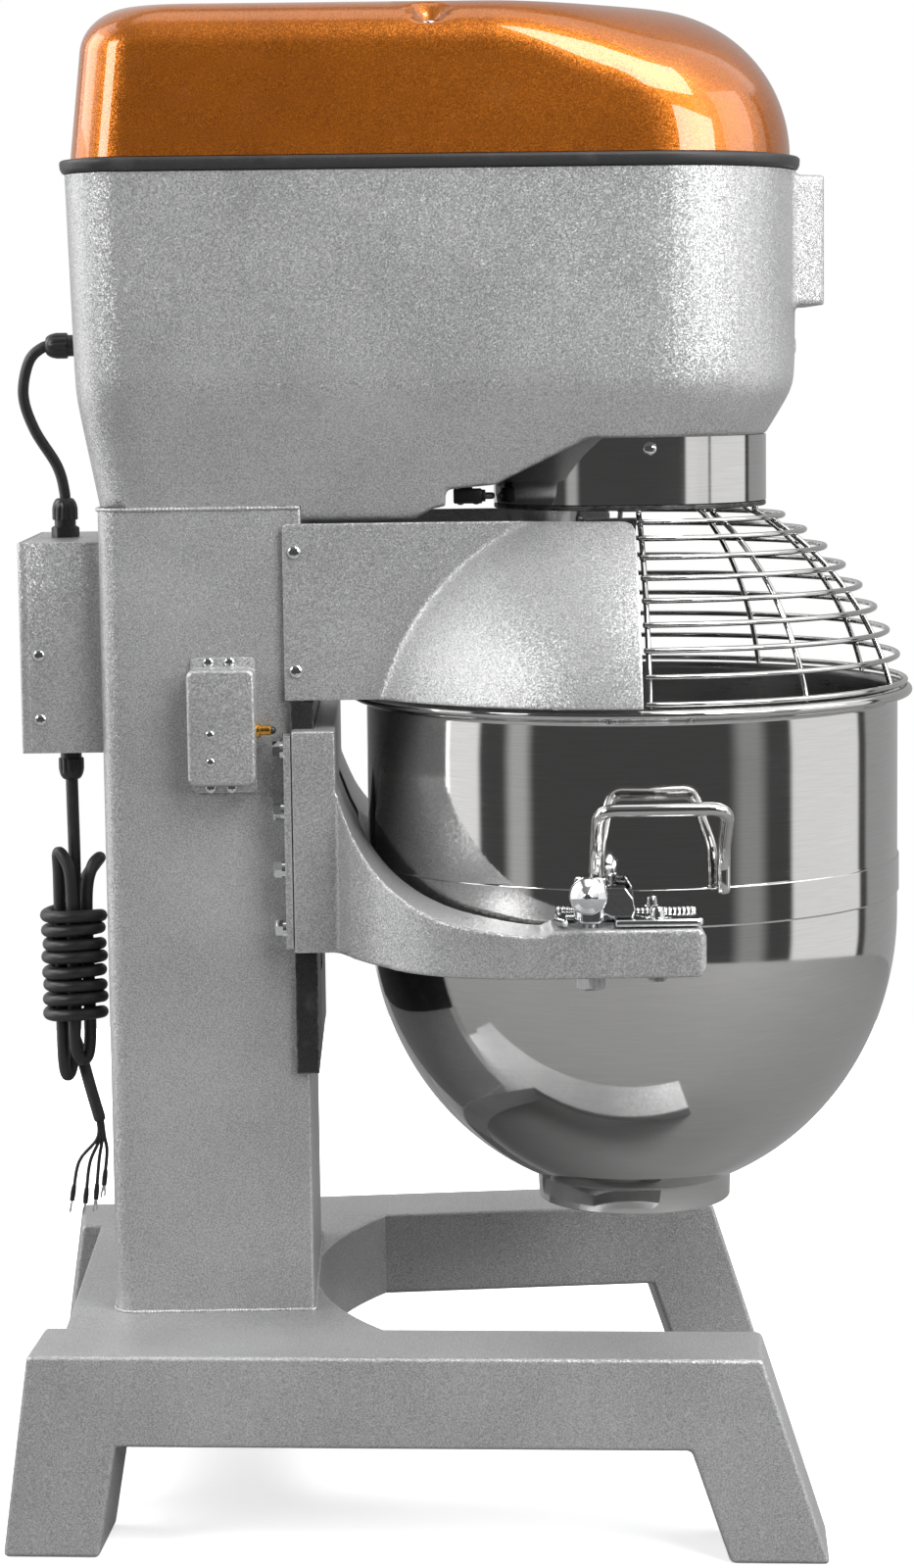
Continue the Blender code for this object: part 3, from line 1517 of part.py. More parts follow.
def make_controls():
    box_x, box_z = 0.165, 1.060
    face_y = 0.2060
    control_box = box(
        "control_box",
        (box_x - 0.045, HEAD_HALF + 0.004, box_z - 0.060),
        (box_x + 0.045, face_y, box_z + 0.060),
    )
    holes = []
    buttons = (("start_button", 0.028, "green_plastic"), ("stop_button", -0.022, "red_plastic"))
    for name, rise, colour in buttons:
        z = box_z + rise
        holes.append(
            cylinder(f"{name}_hole", 0.0125, (box_x, face_y - 0.016, z), (box_x, face_y + 0.02, z), 20)
        )
        press = pivot_at(f"{name}_axis", (box_x, face_y, z))
        button = cylinder(name, 0.0118, (box_x, face_y - 0.008, z), (box_x, face_y + 0.008, z), 20)
        finish(button, colour, press, 40)
    cut(control_box, *holes)
    finish(control_box, "silver_paint")

    lever_x, lever_z = 0.010, 1.030
    shift = pivot_at("gear_shift_axis", (lever_x, HEAD_HALF, lever_z))
    hub = cylinder(
        "gear_shift_lever",
        0.016,
        (lever_x, HEAD_HALF + 0.004, lever_z),
        (lever_x, HEAD_HALF + 0.022, lever_z),
        20,
    )
    stem = cylinder(
        "shift_stem",
        0.0060,
        (lever_x, HEAD_HALF + 0.014, lever_z + 0.005),
        (lever_x, HEAD_HALF + 0.030, lever_z + 0.085),
        12,
    )
    knob = ball("shift_knob", 0.0150, (lever_x, HEAD_HALF + 0.032, lever_z + 0.094), 6, 10)
    unite(hub, stem, knob)
    finish(hub, "black_steel", shift, 40)


# ---------------------------------------------------------------- build

make_base()
make_column()
make_head()
make_cover()
make_skirt()
make_motor()
make_belt()
make_countershaft()
make_planetary()
make_gearbox_plate()
make_guard()
make_shield("left_shield", -1)
make_shield("right_shield", 1)
LIFT = pivot_at("lift_axis", (SCREW_X, 0, 0.6))
make_yoke(LIFT)
make_bowl(LIFT)
make_clamp("left", -1, LIFT)
make_clamp("right", 1, LIFT)
make_lift_drive()
make_electrical_box()
make_glands()
make_link_cable()
make_power_cord()
make_limit_switch()
make_guard_switch()
make_controls()
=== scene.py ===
import math

import bmesh
import bpy
from mathutils import Matrix, Vector


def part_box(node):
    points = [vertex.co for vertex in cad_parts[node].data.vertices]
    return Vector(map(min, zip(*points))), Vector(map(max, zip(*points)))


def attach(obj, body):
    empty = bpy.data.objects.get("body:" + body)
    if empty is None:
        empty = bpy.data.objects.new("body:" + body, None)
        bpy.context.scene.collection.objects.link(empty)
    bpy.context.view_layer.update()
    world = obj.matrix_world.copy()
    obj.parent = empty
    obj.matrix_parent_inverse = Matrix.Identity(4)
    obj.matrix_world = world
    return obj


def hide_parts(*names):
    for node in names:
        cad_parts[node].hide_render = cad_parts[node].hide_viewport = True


# Stand mixer: the fine surfaces, finishes and studio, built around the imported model.
# Every mesh is made in place, in metres, in the frame's own axes: +Z up, the bowl in front at +X.

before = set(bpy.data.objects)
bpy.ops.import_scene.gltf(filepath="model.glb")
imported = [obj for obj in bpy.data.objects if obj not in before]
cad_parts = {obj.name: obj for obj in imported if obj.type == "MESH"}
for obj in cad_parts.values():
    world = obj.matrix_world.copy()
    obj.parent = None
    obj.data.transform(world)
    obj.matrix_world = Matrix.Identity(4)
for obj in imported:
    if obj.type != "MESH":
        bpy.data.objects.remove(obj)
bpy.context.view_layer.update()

# ---------------------------------------------------------------- sizes read from the frame

BASE_LOW, BASE_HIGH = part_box("base_frame")
COLUMN_LOW, COLUMN_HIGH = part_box("column")
WAY_LOW, WAY_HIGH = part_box("slide_way")
HEAD_LOW, HEAD_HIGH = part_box("head_housing")
GASKET_LOW, GASKET_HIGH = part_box("head_gasket")
COVER_LOW, COVER_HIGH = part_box("top_cover")
SKIRT_LOW, SKIRT_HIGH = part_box("drip_skirt")
RING_LOW, RING_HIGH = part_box("guard_ring")
BOWL_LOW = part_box("bowl")[0]
SHIELD_LOW, SHIELD_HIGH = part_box("left_shield")
YOKE_LOW, YOKE_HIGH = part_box("bowl_yoke")
SWITCH_LOW, SWITCH_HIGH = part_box("limit_switch_box")
SENSOR_LOW, SENSOR_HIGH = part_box("guard_switch")
TRAY_LOW, TRAY_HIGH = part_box("electrical_box")
LID_LOW, LID_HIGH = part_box("electrical_box_lid")
CONTROL_LOW, CONTROL_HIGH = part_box("control_box")
WHEEL_LOW, WHEEL_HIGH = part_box("handwheel")
POST_LOW, POST_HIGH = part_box("left_clamp_post")
GIB_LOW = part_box("left_gib_plate")[0]

BOWL_X = (RING_LOW.x + RING_HIGH.x) / 2         # the bowl's axis is vertical, at this X and Y = 0

RAIL_SPLAY = math.radians(4.6)                  # each side rail points this far outwards
RAIL_WIDTH = 0.090
RAIL_TOP = BASE_HIGH.z
RAIL_BOTTOM = 0.095
FOOT_FRONT_X = 0.289                            # toe of the front feet
DECK_REAR_X = -0.350
DECK_CUT_RADIUS = 0.370
DECK_CUT_X = -0.139
DECK_HALF = 0.215

COLUMN_HALF = COLUMN_HIGH.y
COLUMN_CORNER = 0.018
SLOT_HALF = 0.025
SLOT_BOTTOM = 0.450
SLOT_TOP = 0.680
SCREW_X = -0.200
WHEEL_Z = (WHEEL_LOW.z + WHEEL_HIGH.z) / 2

HEAD_HALF = 0.170
HEAD_REAR_X = -0.332
HEAD_FRONT_X = 0.292
HEAD_SEAM = 0.870                               # the head sits on the column here
HEAD_LIP = HEAD_LOW.z                           # and hangs this low just in front of it
HEAD_CREASE = 0.965                             # the sides turn inwards below this
HEAD_TOP = HEAD_HIGH.z
HEAD_FLOOR = 0.936
HEAD_WALL = 0.008
HEAD_REAR_CORNER = 0.050
HEAD_FRONT_CORNER = 0.130
HEAD_UNDERSIDE = (                              # (x, z) along the underside, from the lip up to the nose
    (-0.042, HEAD_LIP - 0.0005),
    (-0.027, 0.8655),
    (-0.015, 0.8680),
    (-0.015, 0.8820),
    (0.0200, 0.8850),
    (0.0267, 0.8855),
    (0.1058, 0.9240),
)

COVER_BOTTOM = COVER_LOW.z
COVER_TOP = COVER_HIGH.z
COVER_EDGE = 0.038                              # radius of the cover's rounded top edge
COVER_NOSE_EDGE = 0.090                         # and on its nose, where it is softer
COVER_SHEET = 0.0025
DIMPLE_X = -0.024
DIMPLE_Y = 0.150
DIMPLE_FLOOR = COVER_TOP - 0.021

SKIRT_RADIUS = SKIRT_HIGH.x - BOWL_X
SKIRT_SHEET = 0.0015

BOWL_RADIUS = 0.236
BOWL_SHEET = 0.002
BEAD_RADIUS = 0.2445
BEAD_Z = 0.698
BEAD = 0.0045
KNEE_Z = 0.500
BOWL_DEPTH = 0.255
BAND_LOW = 0.5205
BAND_HIGH = 0.5515
BAND_PROUD = 0.0015
FOOT_RING = 0.0863
FOOT_BOTTOM = BOWL_LOW.z

GUARD_Z = 0.644
GUARD_RADIUS = 0.245
GUARD_OFFSET = 0.006
GUARD_WIRE = 0.0024
GUARD_HOOPS = 9
GUARD_LOWEST = 14.8
GUARD_HIGHEST = 58.2
GUARD_RIBS = (-90.0, -56.0, -24.0, 24.0, 56.0, 90.0)

SHIELD_RADIUS = 0.270
SHIELD_Z = 0.646
SHIELD_SHEET = 0.003
SHIELD_FLAT = 0.1405

YOKE_FRONT_X = -0.112
YOKE_HALF = 0.165
ARM_OUTER = YOKE_HIGH.y
ARM_INNER = 0.2465
ARM_BOTTOM = YOKE_LOW.z
ARM_TOP = 0.527
ARM_TIP_X = YOKE_HIGH.x
CLAMP_X = (POST_LOW.x + POST_HIGH.x) / 2
CLAMP_Y = 0.268
PIN_X = 0.153
ORBIT = 0.078                                   # from the bowl's axis to the agitator's
AGITATOR_X = BOWL_X - ORBIT

PLUNGER_Y = -0.1515                             # axis of the lift switch's plunger
PLUNGER_Z = 0.681
GLAND_X = -0.350                                # both glands on the electrical box
LINK_CABLE = 0.0048                             # radius of the cable up to the head
MAINS_CORD = 0.0055

SIDES = ((-1, "left"), (1, "right"))

# ---------------------------------------------------------------- mesh tools


def link(name, mesh):
    obj = bpy.data.objects.new(name, mesh)
    bpy.context.scene.collection.objects.link(obj)
    return obj


def from_bmesh(name, shape):
    bmesh.ops.recalc_face_normals(shape, faces=shape.faces)
    mesh = bpy.data.meshes.new(name)
    shape.to_mesh(mesh)
    shape.free()
    return link(name, mesh)


def surface(name, rows, close_rows=False, close_columns=False, caps=False):
    """A mesh through rows of points; caps close the first and the last row with a face."""
    shape = bmesh.new()
    grid = [[shape.verts.new(p) for p in row] for row in rows]
    columns = len(grid[0])
    for i in range(len(grid) - (0 if close_rows else 1)):
        first, second = grid[i], grid[(i + 1) % len(grid)]
        for j in range(columns - (0 if close_columns else 1)):
            k = (j + 1) % columns
            shape.faces.new((first[j], first[k], second[k], second[j]))
    if caps:
        shape.faces.new(grid[0])
        shape.faces.new(grid[-1])
    bmesh.ops.remove_doubles(shape, verts=shape.verts, dist=1e-6)
    return from_bmesh(name, shape)


def arc(centre_x, centre_y, radius, start, end, steps):
    """Points along an arc, angles in degrees, both ends included."""
    angles = [math.radians(start + (end - start) * i / steps) for i in range(steps + 1)]
    return [(centre_x + radius * math.cos(a), centre_y + radius * math.sin(a)) for a in angles]


def circle(centre_x, centre_y, radius, sides=64):
    return arc(centre_x, centre_y, radius, 0.0, 360.0 * (sides - 1) / sides, sides - 1)


def rounded_outline(low_x, high_x, half, rear, front, steps=14, along=1, across=1):
    """Plan outline of a box with rounded corners, its straight sides split evenly."""
    front_x, rear_x = high_x - front, low_x + rear
    corners = [
        arc(front_x, -half + front, front, -90.0, 0.0, steps),
        arc(front_x, half - front, front, 0.0, 90.0, steps),
        arc(rear_x, half - rear, rear, 90.0, 180.0, steps),
        arc(rear_x, -half + rear, rear, 180.0, 270.0, steps),
    ]
    points = []
    for corner, following, parts in zip(corners, corners[1:] + corners[:1], (across, along) * 2):
        start, end = Vector(corner[-1]), Vector(following[0])
        points += corner
        points += [tuple(start.lerp(end, k / parts)) for k in range(1, parts)]
    return points


def soft_rectangle(low_a, high_a, low_b, high_b, radius, steps=6):
    """A rectangle with one corner radius."""
    corners = (
        (high_a - radius, low_b + radius, -90.0),
        (high_a - radius, high_b - radius, 0.0),
        (low_a + radius, high_b - radius, 90.0),
        (low_a + radius, low_b + radius, 180.0),
    )
    points = []
    for a, b, start in corners:
        points += arc(a, b, radius, start, start + 90.0, steps)
    return points


def prism(name, outline, low, high, axis="Z"):
    """A straight block over a flat outline, given as (x, y) for axis Z, (x, z) for Y and (y, z) for X."""
    order = {
        "Z": lambda a, b, c: (a, b, c), "Y": lambda a, b, c: (a, c, b), "X": lambda a, b, c: (c, a, b)
    }[axis]
    rows = [[order(a, b, level) for a, b in outline] for level in (low, high)]
    return surface(name, rows, close_columns=True, caps=True)


def block(name, low, high):
    outline = [(low[0], low[1]), (high[0], low[1]), (high[0], high[1]), (low[0], high[1])]
    return prism(name, outline, low[2], high[2])


def place(obj, point, direction=(0.0, 0.0, 1.0), twist=0.0):
    """Turns a mesh made about its own +Z to point along a direction and moves it to the point."""
    turn = Vector(direction).to_track_quat("Z", "Y").to_matrix().to_4x4()
    obj.data.transform(Matrix.Translation(point) @ turn @ Matrix.Rotation(twist, 4, "Z"))
    return obj


def lathe(name, profile, point=(0.0, 0.0, 0.0), direction=(0.0, 0.0, 1.0), steps=96):
    """A turned shape: the profile's (radius, height) points go round the direction through the point."""
    rows = []
    for i in range(steps):
        turn = 2 * math.pi * i / steps
        rows.append([(r * math.cos(turn), r * math.sin(turn), h) for r, h in profile])
    closed = profile[0][0] > 0 or profile[-1][0] > 0
    return place(surface(name, rows, close_rows=True, close_columns=closed), point, direction)


def rod(name, radius, low, high, *where, **options):
    """A plain round bar, used for holes and bores, between two heights along its axis."""
    return lathe(name, [(0.0, high), (radius, high), (radius, low), (0.0, low)], *where, **options)


def ball_profile(size):
    """Profile of a small ball, for a spot of weld."""
    profile = [
        (size * math.sin(math.radians(a)), size * math.cos(math.radians(a))) for a in range(0, 181, 30)
    ]
    profile[0], profile[-1] = (0.0, size), (0.0, -size)
    return profile


def thicken(sheet, thickness, even=False):
    """Gives an open sheet its thickness, inwards from its outer face."""
    solid = sheet.modifiers.new("Sheet", "SOLIDIFY")
    solid.thickness = thickness
    solid.offset = -1.0
    solid.use_even_offset = even
    settle(sheet)


def smooth_path(points, steps=10):
    """A rounded line through the points (Catmull-Rom)."""
    points = [Vector(p) for p in points]
    padded = [2 * points[0] - points[1], *points, 2 * points[-1] - points[-2]]
    path = []
    for i in range(1, len(padded) - 2):
        before, start, end, after = padded[i - 1:i + 3]
        for step in range(steps):
            t = step / steps
            path.append(
                0.5 * (
                    2 * start
                    + (end - before) * t
                    + (2 * before - 5 * start + 4 * end - after) * t ** 2
                    + (3 * start - before - 3 * end + after) * t ** 3
                )
            )
    path.append(points[-1])
    return path


def round_corners(points, radius, steps=8):
    """A straight-sided line with each corner turned into an arc-like bend."""
    points = [Vector(p) for p in points]
    path = [points[0]]
    for before, corner, after in zip(points, points[1:], points[2:]):
        start = corner + (before - corner).normalized() * radius
        end = corner + (after - corner).normalized() * radius
        for i in range(steps + 1):
            t = i / steps
            path.append(start.lerp(corner, t).lerp(corner.lerp(end, t), t))
    path.append(points[-1])
    return path


END_RINGS = ((0.0, 0.45), (0.12, 0.75), (0.35, 0.93), (0.7, 1.0))    # (along, across) of a rounded end


def tube(name, path, radius, sides=16, closed=False):
    """A round bar along a path with soft ends; radius is a number or a function of the share of the way."""
    points = [Vector(p) for p in path]
    count = len(points)
    size = radius if callable(radius) else lambda share: radius
    tangents = []
    for i in range(count):
        before = points[(i - 1) % count if closed else max(i - 1, 0)]
        after = points[(i + 1) % count if closed else min(i + 1, count - 1)]
        tangents.append((after - before).normalized())
    normal = tangents[0].orthogonal().normalized()
    frames = []
    for tangent in tangents:
        normal = (normal - tangent * normal.dot(tangent)).normalized()
        frames.append((normal.copy(), tangent.cross(normal)))

    def ring(i, along, across):
        first, second = frames[i]
        reach = size(i / (count - 1)) * across
        centre = points[i] + tangents[i] * along
        angles = [2 * math.pi * k / sides for k in range(sides)]
        return [centre + (first * math.cos(a) + second * math.sin(a)) * reach for a in angles]

    if closed:
        return surface(name, [ring(i, 0.0, 1.0) for i in range(count)], True, True)
    rows = [ring(0, size(0.0) * (a - 0.7), b) for a, b in END_RINGS]
    rows += [ring(i, 0.0, 1.0) for i in range(1, count - 1)]
    rows += [ring(count - 1, size(1.0) * (0.7 - a), b) for a, b in reversed(END_RINGS)]
    return surface(name, rows, close_columns=True, caps=True)


def settle(obj):
    """Gives the object the mesh that its modifiers make."""
    graph = bpy.context.evaluated_depsgraph_get()
    mesh = bpy.data.meshes.new_from_object(obj.evaluated_get(graph))
    obj.modifiers.clear()
    obj.data = mesh
    return obj


def bevel(obj, width, segments=3, angle=30.0):
    edges = obj.modifiers.new("Edges", "BEVEL")
    edges.width = width
    edges.segments = segments
    edges.limit_method = "ANGLE"
    edges.angle_limit = math.radians(angle)
    return settle(obj)


def combine(obj, operation, others, solver="EXACT"):
    for other in others:
        step = obj.modifiers.new(operation, "BOOLEAN")
        step.operation = operation
        step.solver = solver
        step.object = other
    settle(obj)
    for other in others:
        bpy.data.objects.remove(other)
    return obj


def unite(obj, *others, solver="EXACT"):
    return combine(obj, "UNION", others, solver)


def cut(obj, *others, solver="EXACT"):
    return combine(obj, "DIFFERENCE", others, solver)


def keep_inside(obj, *others, solver="EXACT"):
    return combine(obj, "INTERSECT", others, solver)


def cast(obj, grain, rounds=6):
    """Turns joined blocks into one skin with soft edges and fillets, as a casting has."""
    skin = obj.modifiers.new("Skin", "REMESH")
    skin.mode = "VOXEL"
    skin.voxel_size = grain
    soften = obj.modifiers.new("Soften", "SMOOTH")
    soften.factor = 0.5
    soften.iterations = rounds
    return settle(obj)


def join(name, objs):
    """Several closed shapes kept together as one piece."""
    shape = bmesh.new()
    for obj in objs:
        mesh = obj.data.copy()
        mesh.transform(obj.matrix_world)
        shape.from_mesh(mesh)
        bpy.data.objects.remove(obj)
    mesh = bpy.data.meshes.new(name)
    shape.to_mesh(mesh)
    shape.free()
    return link(name, mesh)


# ---------------------------------------------------------------- material tools


def add(tree, kind, settings=None, **inputs):
    """Adds a node; an input may be a value or another node's output."""
    node = tree.nodes.new(kind)
    for key, value in (settings or {}).items():
        setattr(node, key, value)
    for key, value in inputs.items():
        socket = node.inputs[int(key[1:])] if key[1:].isdigit() else node.inputs[key.replace("_", " ")]
        if isinstance(value, bpy.types.NodeSocket):
            tree.links.new(value, socket)
        else:
            socket.default_value = value
    return node


def maths(tree, operation, a, b=0.0, c=0.0):
    return add(tree, "ShaderNodeMath", {"operation": operation}, i0=a, i1=b, i2=c).outputs[0]


def remap(tree, value, low, high, to_low, to_high, smooth=False):
    settings = {"interpolation_type": "SMOOTHSTEP" if smooth else "LINEAR"}
    return add(
        tree, "ShaderNodeMapRange", settings, i0=value, i1=low, i2=high, i3=to_low, i4=to_high
    ).outputs[0]


def noise(tree, vector, scale, detail=2.0, roughness=0.5):
    return add(
        tree, "ShaderNodeTexNoise", Vector=vector, Scale=scale, Detail=detail, Roughness=roughness
    ).outputs["Fac"]


def stretch(tree, vector, amounts):
    return add(tree, "ShaderNodeVectorMath", {"operation": "MULTIPLY"}, i0=vector, i1=amounts).outputs[0]


def mix_colour(tree, share, first, second):
    node = add(tree, "ShaderNodeMix", {"data_type": "RGBA"}, i0=share, i6=first, i7=second)
    return node.outputs[2]


def opaque(colour):
    return (*colour, 1.0)


def make_finish(
    name,
    dark,
    light,
    metallic,
    roughness,
    grain=400.0,
    contrast=1.0,
    relief=0.1,
    relief_depth=0.0003,
    brushed=None,
    flakes=0.0,
    coat=0.0,
    wear_and_edge_highlight=0.0,
    wear_and_highlight_colour=(0.75, 0.75, 0.75),
    dust=0.0,
    waves=0.0,
):
    """A procedural finish: fine grain, cloudy variation, scratches, lighter edges (partly wear, partly
    painted highlight), flakes and relief.
    """
    material = bpy.data.materials.new(name)
    material.use_nodes = True
    tree = material.node_tree
    shader = tree.nodes["Principled BSDF"]
    coordinates = add(tree, "ShaderNodeTexCoord").outputs["Object"]
    grain_vector = stretch(tree, coordinates, brushed) if brushed else coordinates
    fine = noise(tree, grain_vector, grain, 3.0, 0.6)
    cloud = noise(tree, coordinates, 7.0, 4.0, 0.55)
    scratch_vector = stretch(tree, coordinates, (1.0, 1.0, 9.0))
    scratches = remap(tree, noise(tree, scratch_vector, 55.0, 5.0, 0.75), 0.60, 0.72, 0.0, 1.0, True)
    shade = remap(tree, fine, 0.5 - 0.22 / contrast, 0.5 + 0.22 / contrast, 0.0, 1.0)
    shade = maths(tree, "ADD", shade, remap(tree, cloud, 0.3, 0.7, -0.18, 0.18))
    colour = mix_colour(tree, shade, opaque(dark), opaque(light))
    rough = remap(tree, maths(tree, "ADD", fine, cloud), 0.7, 1.3, roughness[0], roughness[1])
    rough = maths(tree, "ADD", rough, maths(tree, "MULTIPLY", scratches, 0.06))
    if dust:
        settled = remap(tree, noise(tree, coordinates, 26.0, 6.0, 0.7), 0.52, 0.75, 0.0, dust, True)
        colour = mix_colour(tree, settled, colour, opaque((0.42, 0.40, 0.37)))
        rough = maths(tree, "ADD", rough, maths(tree, "MULTIPLY", settled, 0.4))
    # Lighter colour where the bevel normal turns away from the face: partly rubbed-through paint, partly
    # painted highlight on the rounded edges.
    if wear_and_edge_highlight:
        rounded = add(tree, "ShaderNodeBevel", {"samples": 4}, Radius=0.0025).outputs[0]
        facing = add(tree, "ShaderNodeNewGeometry").outputs["Normal"]
        turned = add(tree, "ShaderNodeVectorMath", {"operation": "DOT_PRODUCT"}, i0=rounded, i1=facing)
        edge = remap(tree, turned.outputs["Value"], 0.995, 0.93, 0.0, 1.0)
        broken = remap(tree, noise(tree, coordinates, 90.0, 4.0, 0.7), 0.40, 0.62, 0.0, wear_and_edge_highlight, True)
        share = maths(tree, "MULTIPLY", edge, broken)
        colour = mix_colour(tree, share, colour, opaque(wear_and_highlight_colour))
    bump = add(tree, "ShaderNodeBump", Strength=relief, Distance=relief_depth, Height=fine)
    if waves:
        swell = noise(tree, coordinates, 14.0, 1.0, 0.4)
        broad = add(tree, "ShaderNodeBump", Strength=waves, Distance=0.004, Height=swell)
        tree.links.new(broad.outputs[0], bump.inputs["Normal"])
    normal = bump.outputs[0]
    if flakes:
        cells = add(tree, "ShaderNodeTexVoronoi", Vector=coordinates, Scale=grain * 1.25).outputs["Color"]
        tilt = add(tree, "ShaderNodeVectorMath", {"operation": "SUBTRACT"}, i0=cells, i1=(0.5, 0.5, 0.5))
        tilt = add(tree, "ShaderNodeVectorMath", {"operation": "SCALE"}, i0=tilt.outputs[0], Scale=flakes)
        tilted = add(tree, "ShaderNodeVectorMath", {"operation": "ADD"}, i0=normal, i1=tilt.outputs[0])
        normal = add(
            tree, "ShaderNodeVectorMath", {"operation": "NORMALIZE"}, i0=tilted.outputs[0]
        ).outputs[0]
    tree.links.new(colour, shader.inputs["Base Color"])
    tree.links.new(rough, shader.inputs["Roughness"])
    tree.links.new(normal, shader.inputs["Normal"])
    shader.inputs["Metallic"].default_value = metallic
    shader.inputs["Coat Weight"].default_value = coat
    shader.inputs["Coat Roughness"].default_value = 0.025
    return material


AROUND = (0.03, 0.03, 1.0)                      # brush marks run round the vertical axis

FINISHES = {
    "silver_paint": make_finish(
        "silver_paint", (0.315, 0.315, 0.318), (0.55, 0.55, 0.553), 0.55, (0.33, 0.43), grain=820.0,
        contrast=2.0, relief=0.12, relief_depth=0.0003, flakes=0.30, wear_and_edge_highlight=0.5,
        wear_and_highlight_colour=(0.80, 0.80, 0.80), dust=0.05,
    ),
    "copper_paint": make_finish(
        "copper_paint", (0.29, 0.070, 0.002), (0.57, 0.162, 0.005), 0.72, (0.30, 0.38), grain=1100.0,
        contrast=1.4, relief=0.02, flakes=0.20, coat=1.0, dust=0.02,
    ),
    "stainless": make_finish(
        "stainless", (0.54, 0.535, 0.53), (0.60, 0.595, 0.59), 1.0, (0.045, 0.085), grain=900.0,
        relief=0.012, relief_depth=0.0001, brushed=AROUND, waves=0.010,
    ),
    "steel": make_finish(
        "steel", (0.36, 0.36, 0.37), (0.56, 0.56, 0.57), 1.0, (0.24, 0.40), grain=500.0,
        relief=0.12, brushed=(1.0, 1.0, 0.1), dust=0.12, wear_and_edge_highlight=0.5,
    ),
    "chrome": make_finish(
        "chrome", (0.68, 0.69, 0.70), (0.80, 0.80, 0.81), 1.0, (0.05, 0.12), grain=300.0,
        relief=0.04, waves=0.04,
    ),
    "rubber": make_finish(
        "rubber", (0.014, 0.014, 0.015), (0.036, 0.036, 0.037), 0.0, (0.36, 0.52), grain=1400.0,
        relief=0.12, relief_depth=0.0002, dust=0.06,
    ),
    "black_steel": make_finish(
        "black_steel", (0.018, 0.018, 0.019), (0.055, 0.055, 0.057), 0.55, (0.32, 0.50), grain=620.0,
        relief=0.18, wear_and_edge_highlight=0.7, wear_and_highlight_colour=(0.30, 0.30, 0.30), dust=0.12,
    ),
    "black_plastic": make_finish(
        "black_plastic", (0.012, 0.012, 0.013), (0.030, 0.030, 0.031), 0.0, (0.28, 0.42), grain=1400.0,
        relief=0.12, relief_depth=0.0002, dust=0.06,
    ),
    "brass": make_finish(
        "brass", (0.55, 0.27, 0.045), (0.82, 0.47, 0.11), 1.0, (0.16, 0.30), grain=600.0,
        relief=0.08, brushed=(1.0, 0.1, 0.1),
    ),
    "bronze": make_finish(
        "bronze", (0.34, 0.17, 0.055), (0.56, 0.31, 0.11), 1.0, (0.28, 0.42), grain=500.0, relief=0.12,
    ),
    "cast_iron": make_finish(
        "cast_iron", (0.050, 0.052, 0.055), (0.12, 0.122, 0.125), 0.6, (0.42, 0.60), grain=380.0,
        relief=0.35, relief_depth=0.0005, wear_and_edge_highlight=0.6, wear_and_highlight_colour=(0.40, 0.40, 0.40),
    ),
    "green_plastic": make_finish(
        "green_plastic", (0.006, 0.12, 0.030), (0.012, 0.21, 0.055), 0.0, (0.22, 0.34), grain=900.0,
        relief=0.08, coat=0.4, dust=0.05,
    ),
    "red_plastic": make_finish(
        "red_plastic", (0.30, 0.008, 0.007), (0.46, 0.016, 0.013), 0.0, (0.22, 0.34), grain=900.0,
        relief=0.08, coat=0.4, dust=0.05,
    ),
}


# The same stainless, darker and rougher, for the bowl's inner faces: the darker colour is painted shade
# inside the bowl, the dust is real.
BOWL_INSIDE_SHADED = make_finish(
    "stainless_inside_shaded", (0.30, 0.30, 0.30), (0.36, 0.36, 0.36), 1.0, (0.26, 0.34), grain=900.0,
    relief=0.03, relief_depth=0.0001, brushed=AROUND, dust=0.04,
)


def finish(obj, material, body, replaces=(), smooth=35.0, weighted=False):
    """Gives a piece its finish and shading, and makes it ride on its body."""
    obj.data.materials.clear()
    obj.data.materials.append(FINISHES[material])
    obj.data.shade_smooth()
    obj.data.set_sharp_from_angle(angle=math.radians(smooth))
    if weighted:
        even = obj.modifiers.new("Even", "WEIGHTED_NORMAL")
        even.keep_sharp = True
        settle(obj)
    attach(obj, body)
    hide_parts(*replaces)
    return obj


# ---------------------------------------------------------------- fasteners

GOLDEN_TURN = math.radians(137.5)               # each fastener is turned by one more of these


def screw_mesh(radius):
    """A pan head with a cross recess, standing on its local origin."""
    height = 0.55 * radius
    dome = [(0.0, height)]
    dome += [
        (radius * math.sin(math.radians(a)), height * (0.35 + 0.65 * math.cos(math.radians(a))))
        for a in range(12, 91, 13)
    ]
    dome += [(radius, 0.0), (0.0, 0.0)]
    head = lathe("screw", dome, steps=40)
    slots = []
    for turn in (0.0, math.pi / 2):
        slot = block(
            "slot", (-0.52 * radius, -0.10 * radius, 0.45 * height), (0.52 * radius, 0.10 * radius, 1.0)
        )
        slot.data.transform(Matrix.Rotation(turn, 4, "Z"))
        slots.append(slot)
    cut(head, *slots)
    return head


def hex_mesh(across, height, washer=0.0):
    """A hexagon head with chamfered corners, on a split washer if one is asked for."""
    reach = across / math.sqrt(3)
    head = prism("hex", circle(0.0, 0.0, reach, 6), washer, washer + height)
    chamfer = lathe(
        "chamfer",
        [
            (0.0, washer + height),
            (0.46 * across, washer + height),
            (reach + 0.0003, washer + 0.80 * height),
            (reach + 0.0003, washer),
            (0.0, washer),
        ],
        steps=48,
    )
    keep_inside(head, chamfer)
    if washer:
        outer, inner = 0.56 * across, 0.30 * across
        ring = lathe("washer", [(outer, washer), (outer, 0.0), (inner, 0.0), (inner, washer)], steps=40)
        split = block("split", (inner, -0.0004, -0.01), (outer + 0.001, 0.0004, 0.01))
        cut(ring, split)
        head = join("hex", [head, ring])
    return head


fastener_count = 0


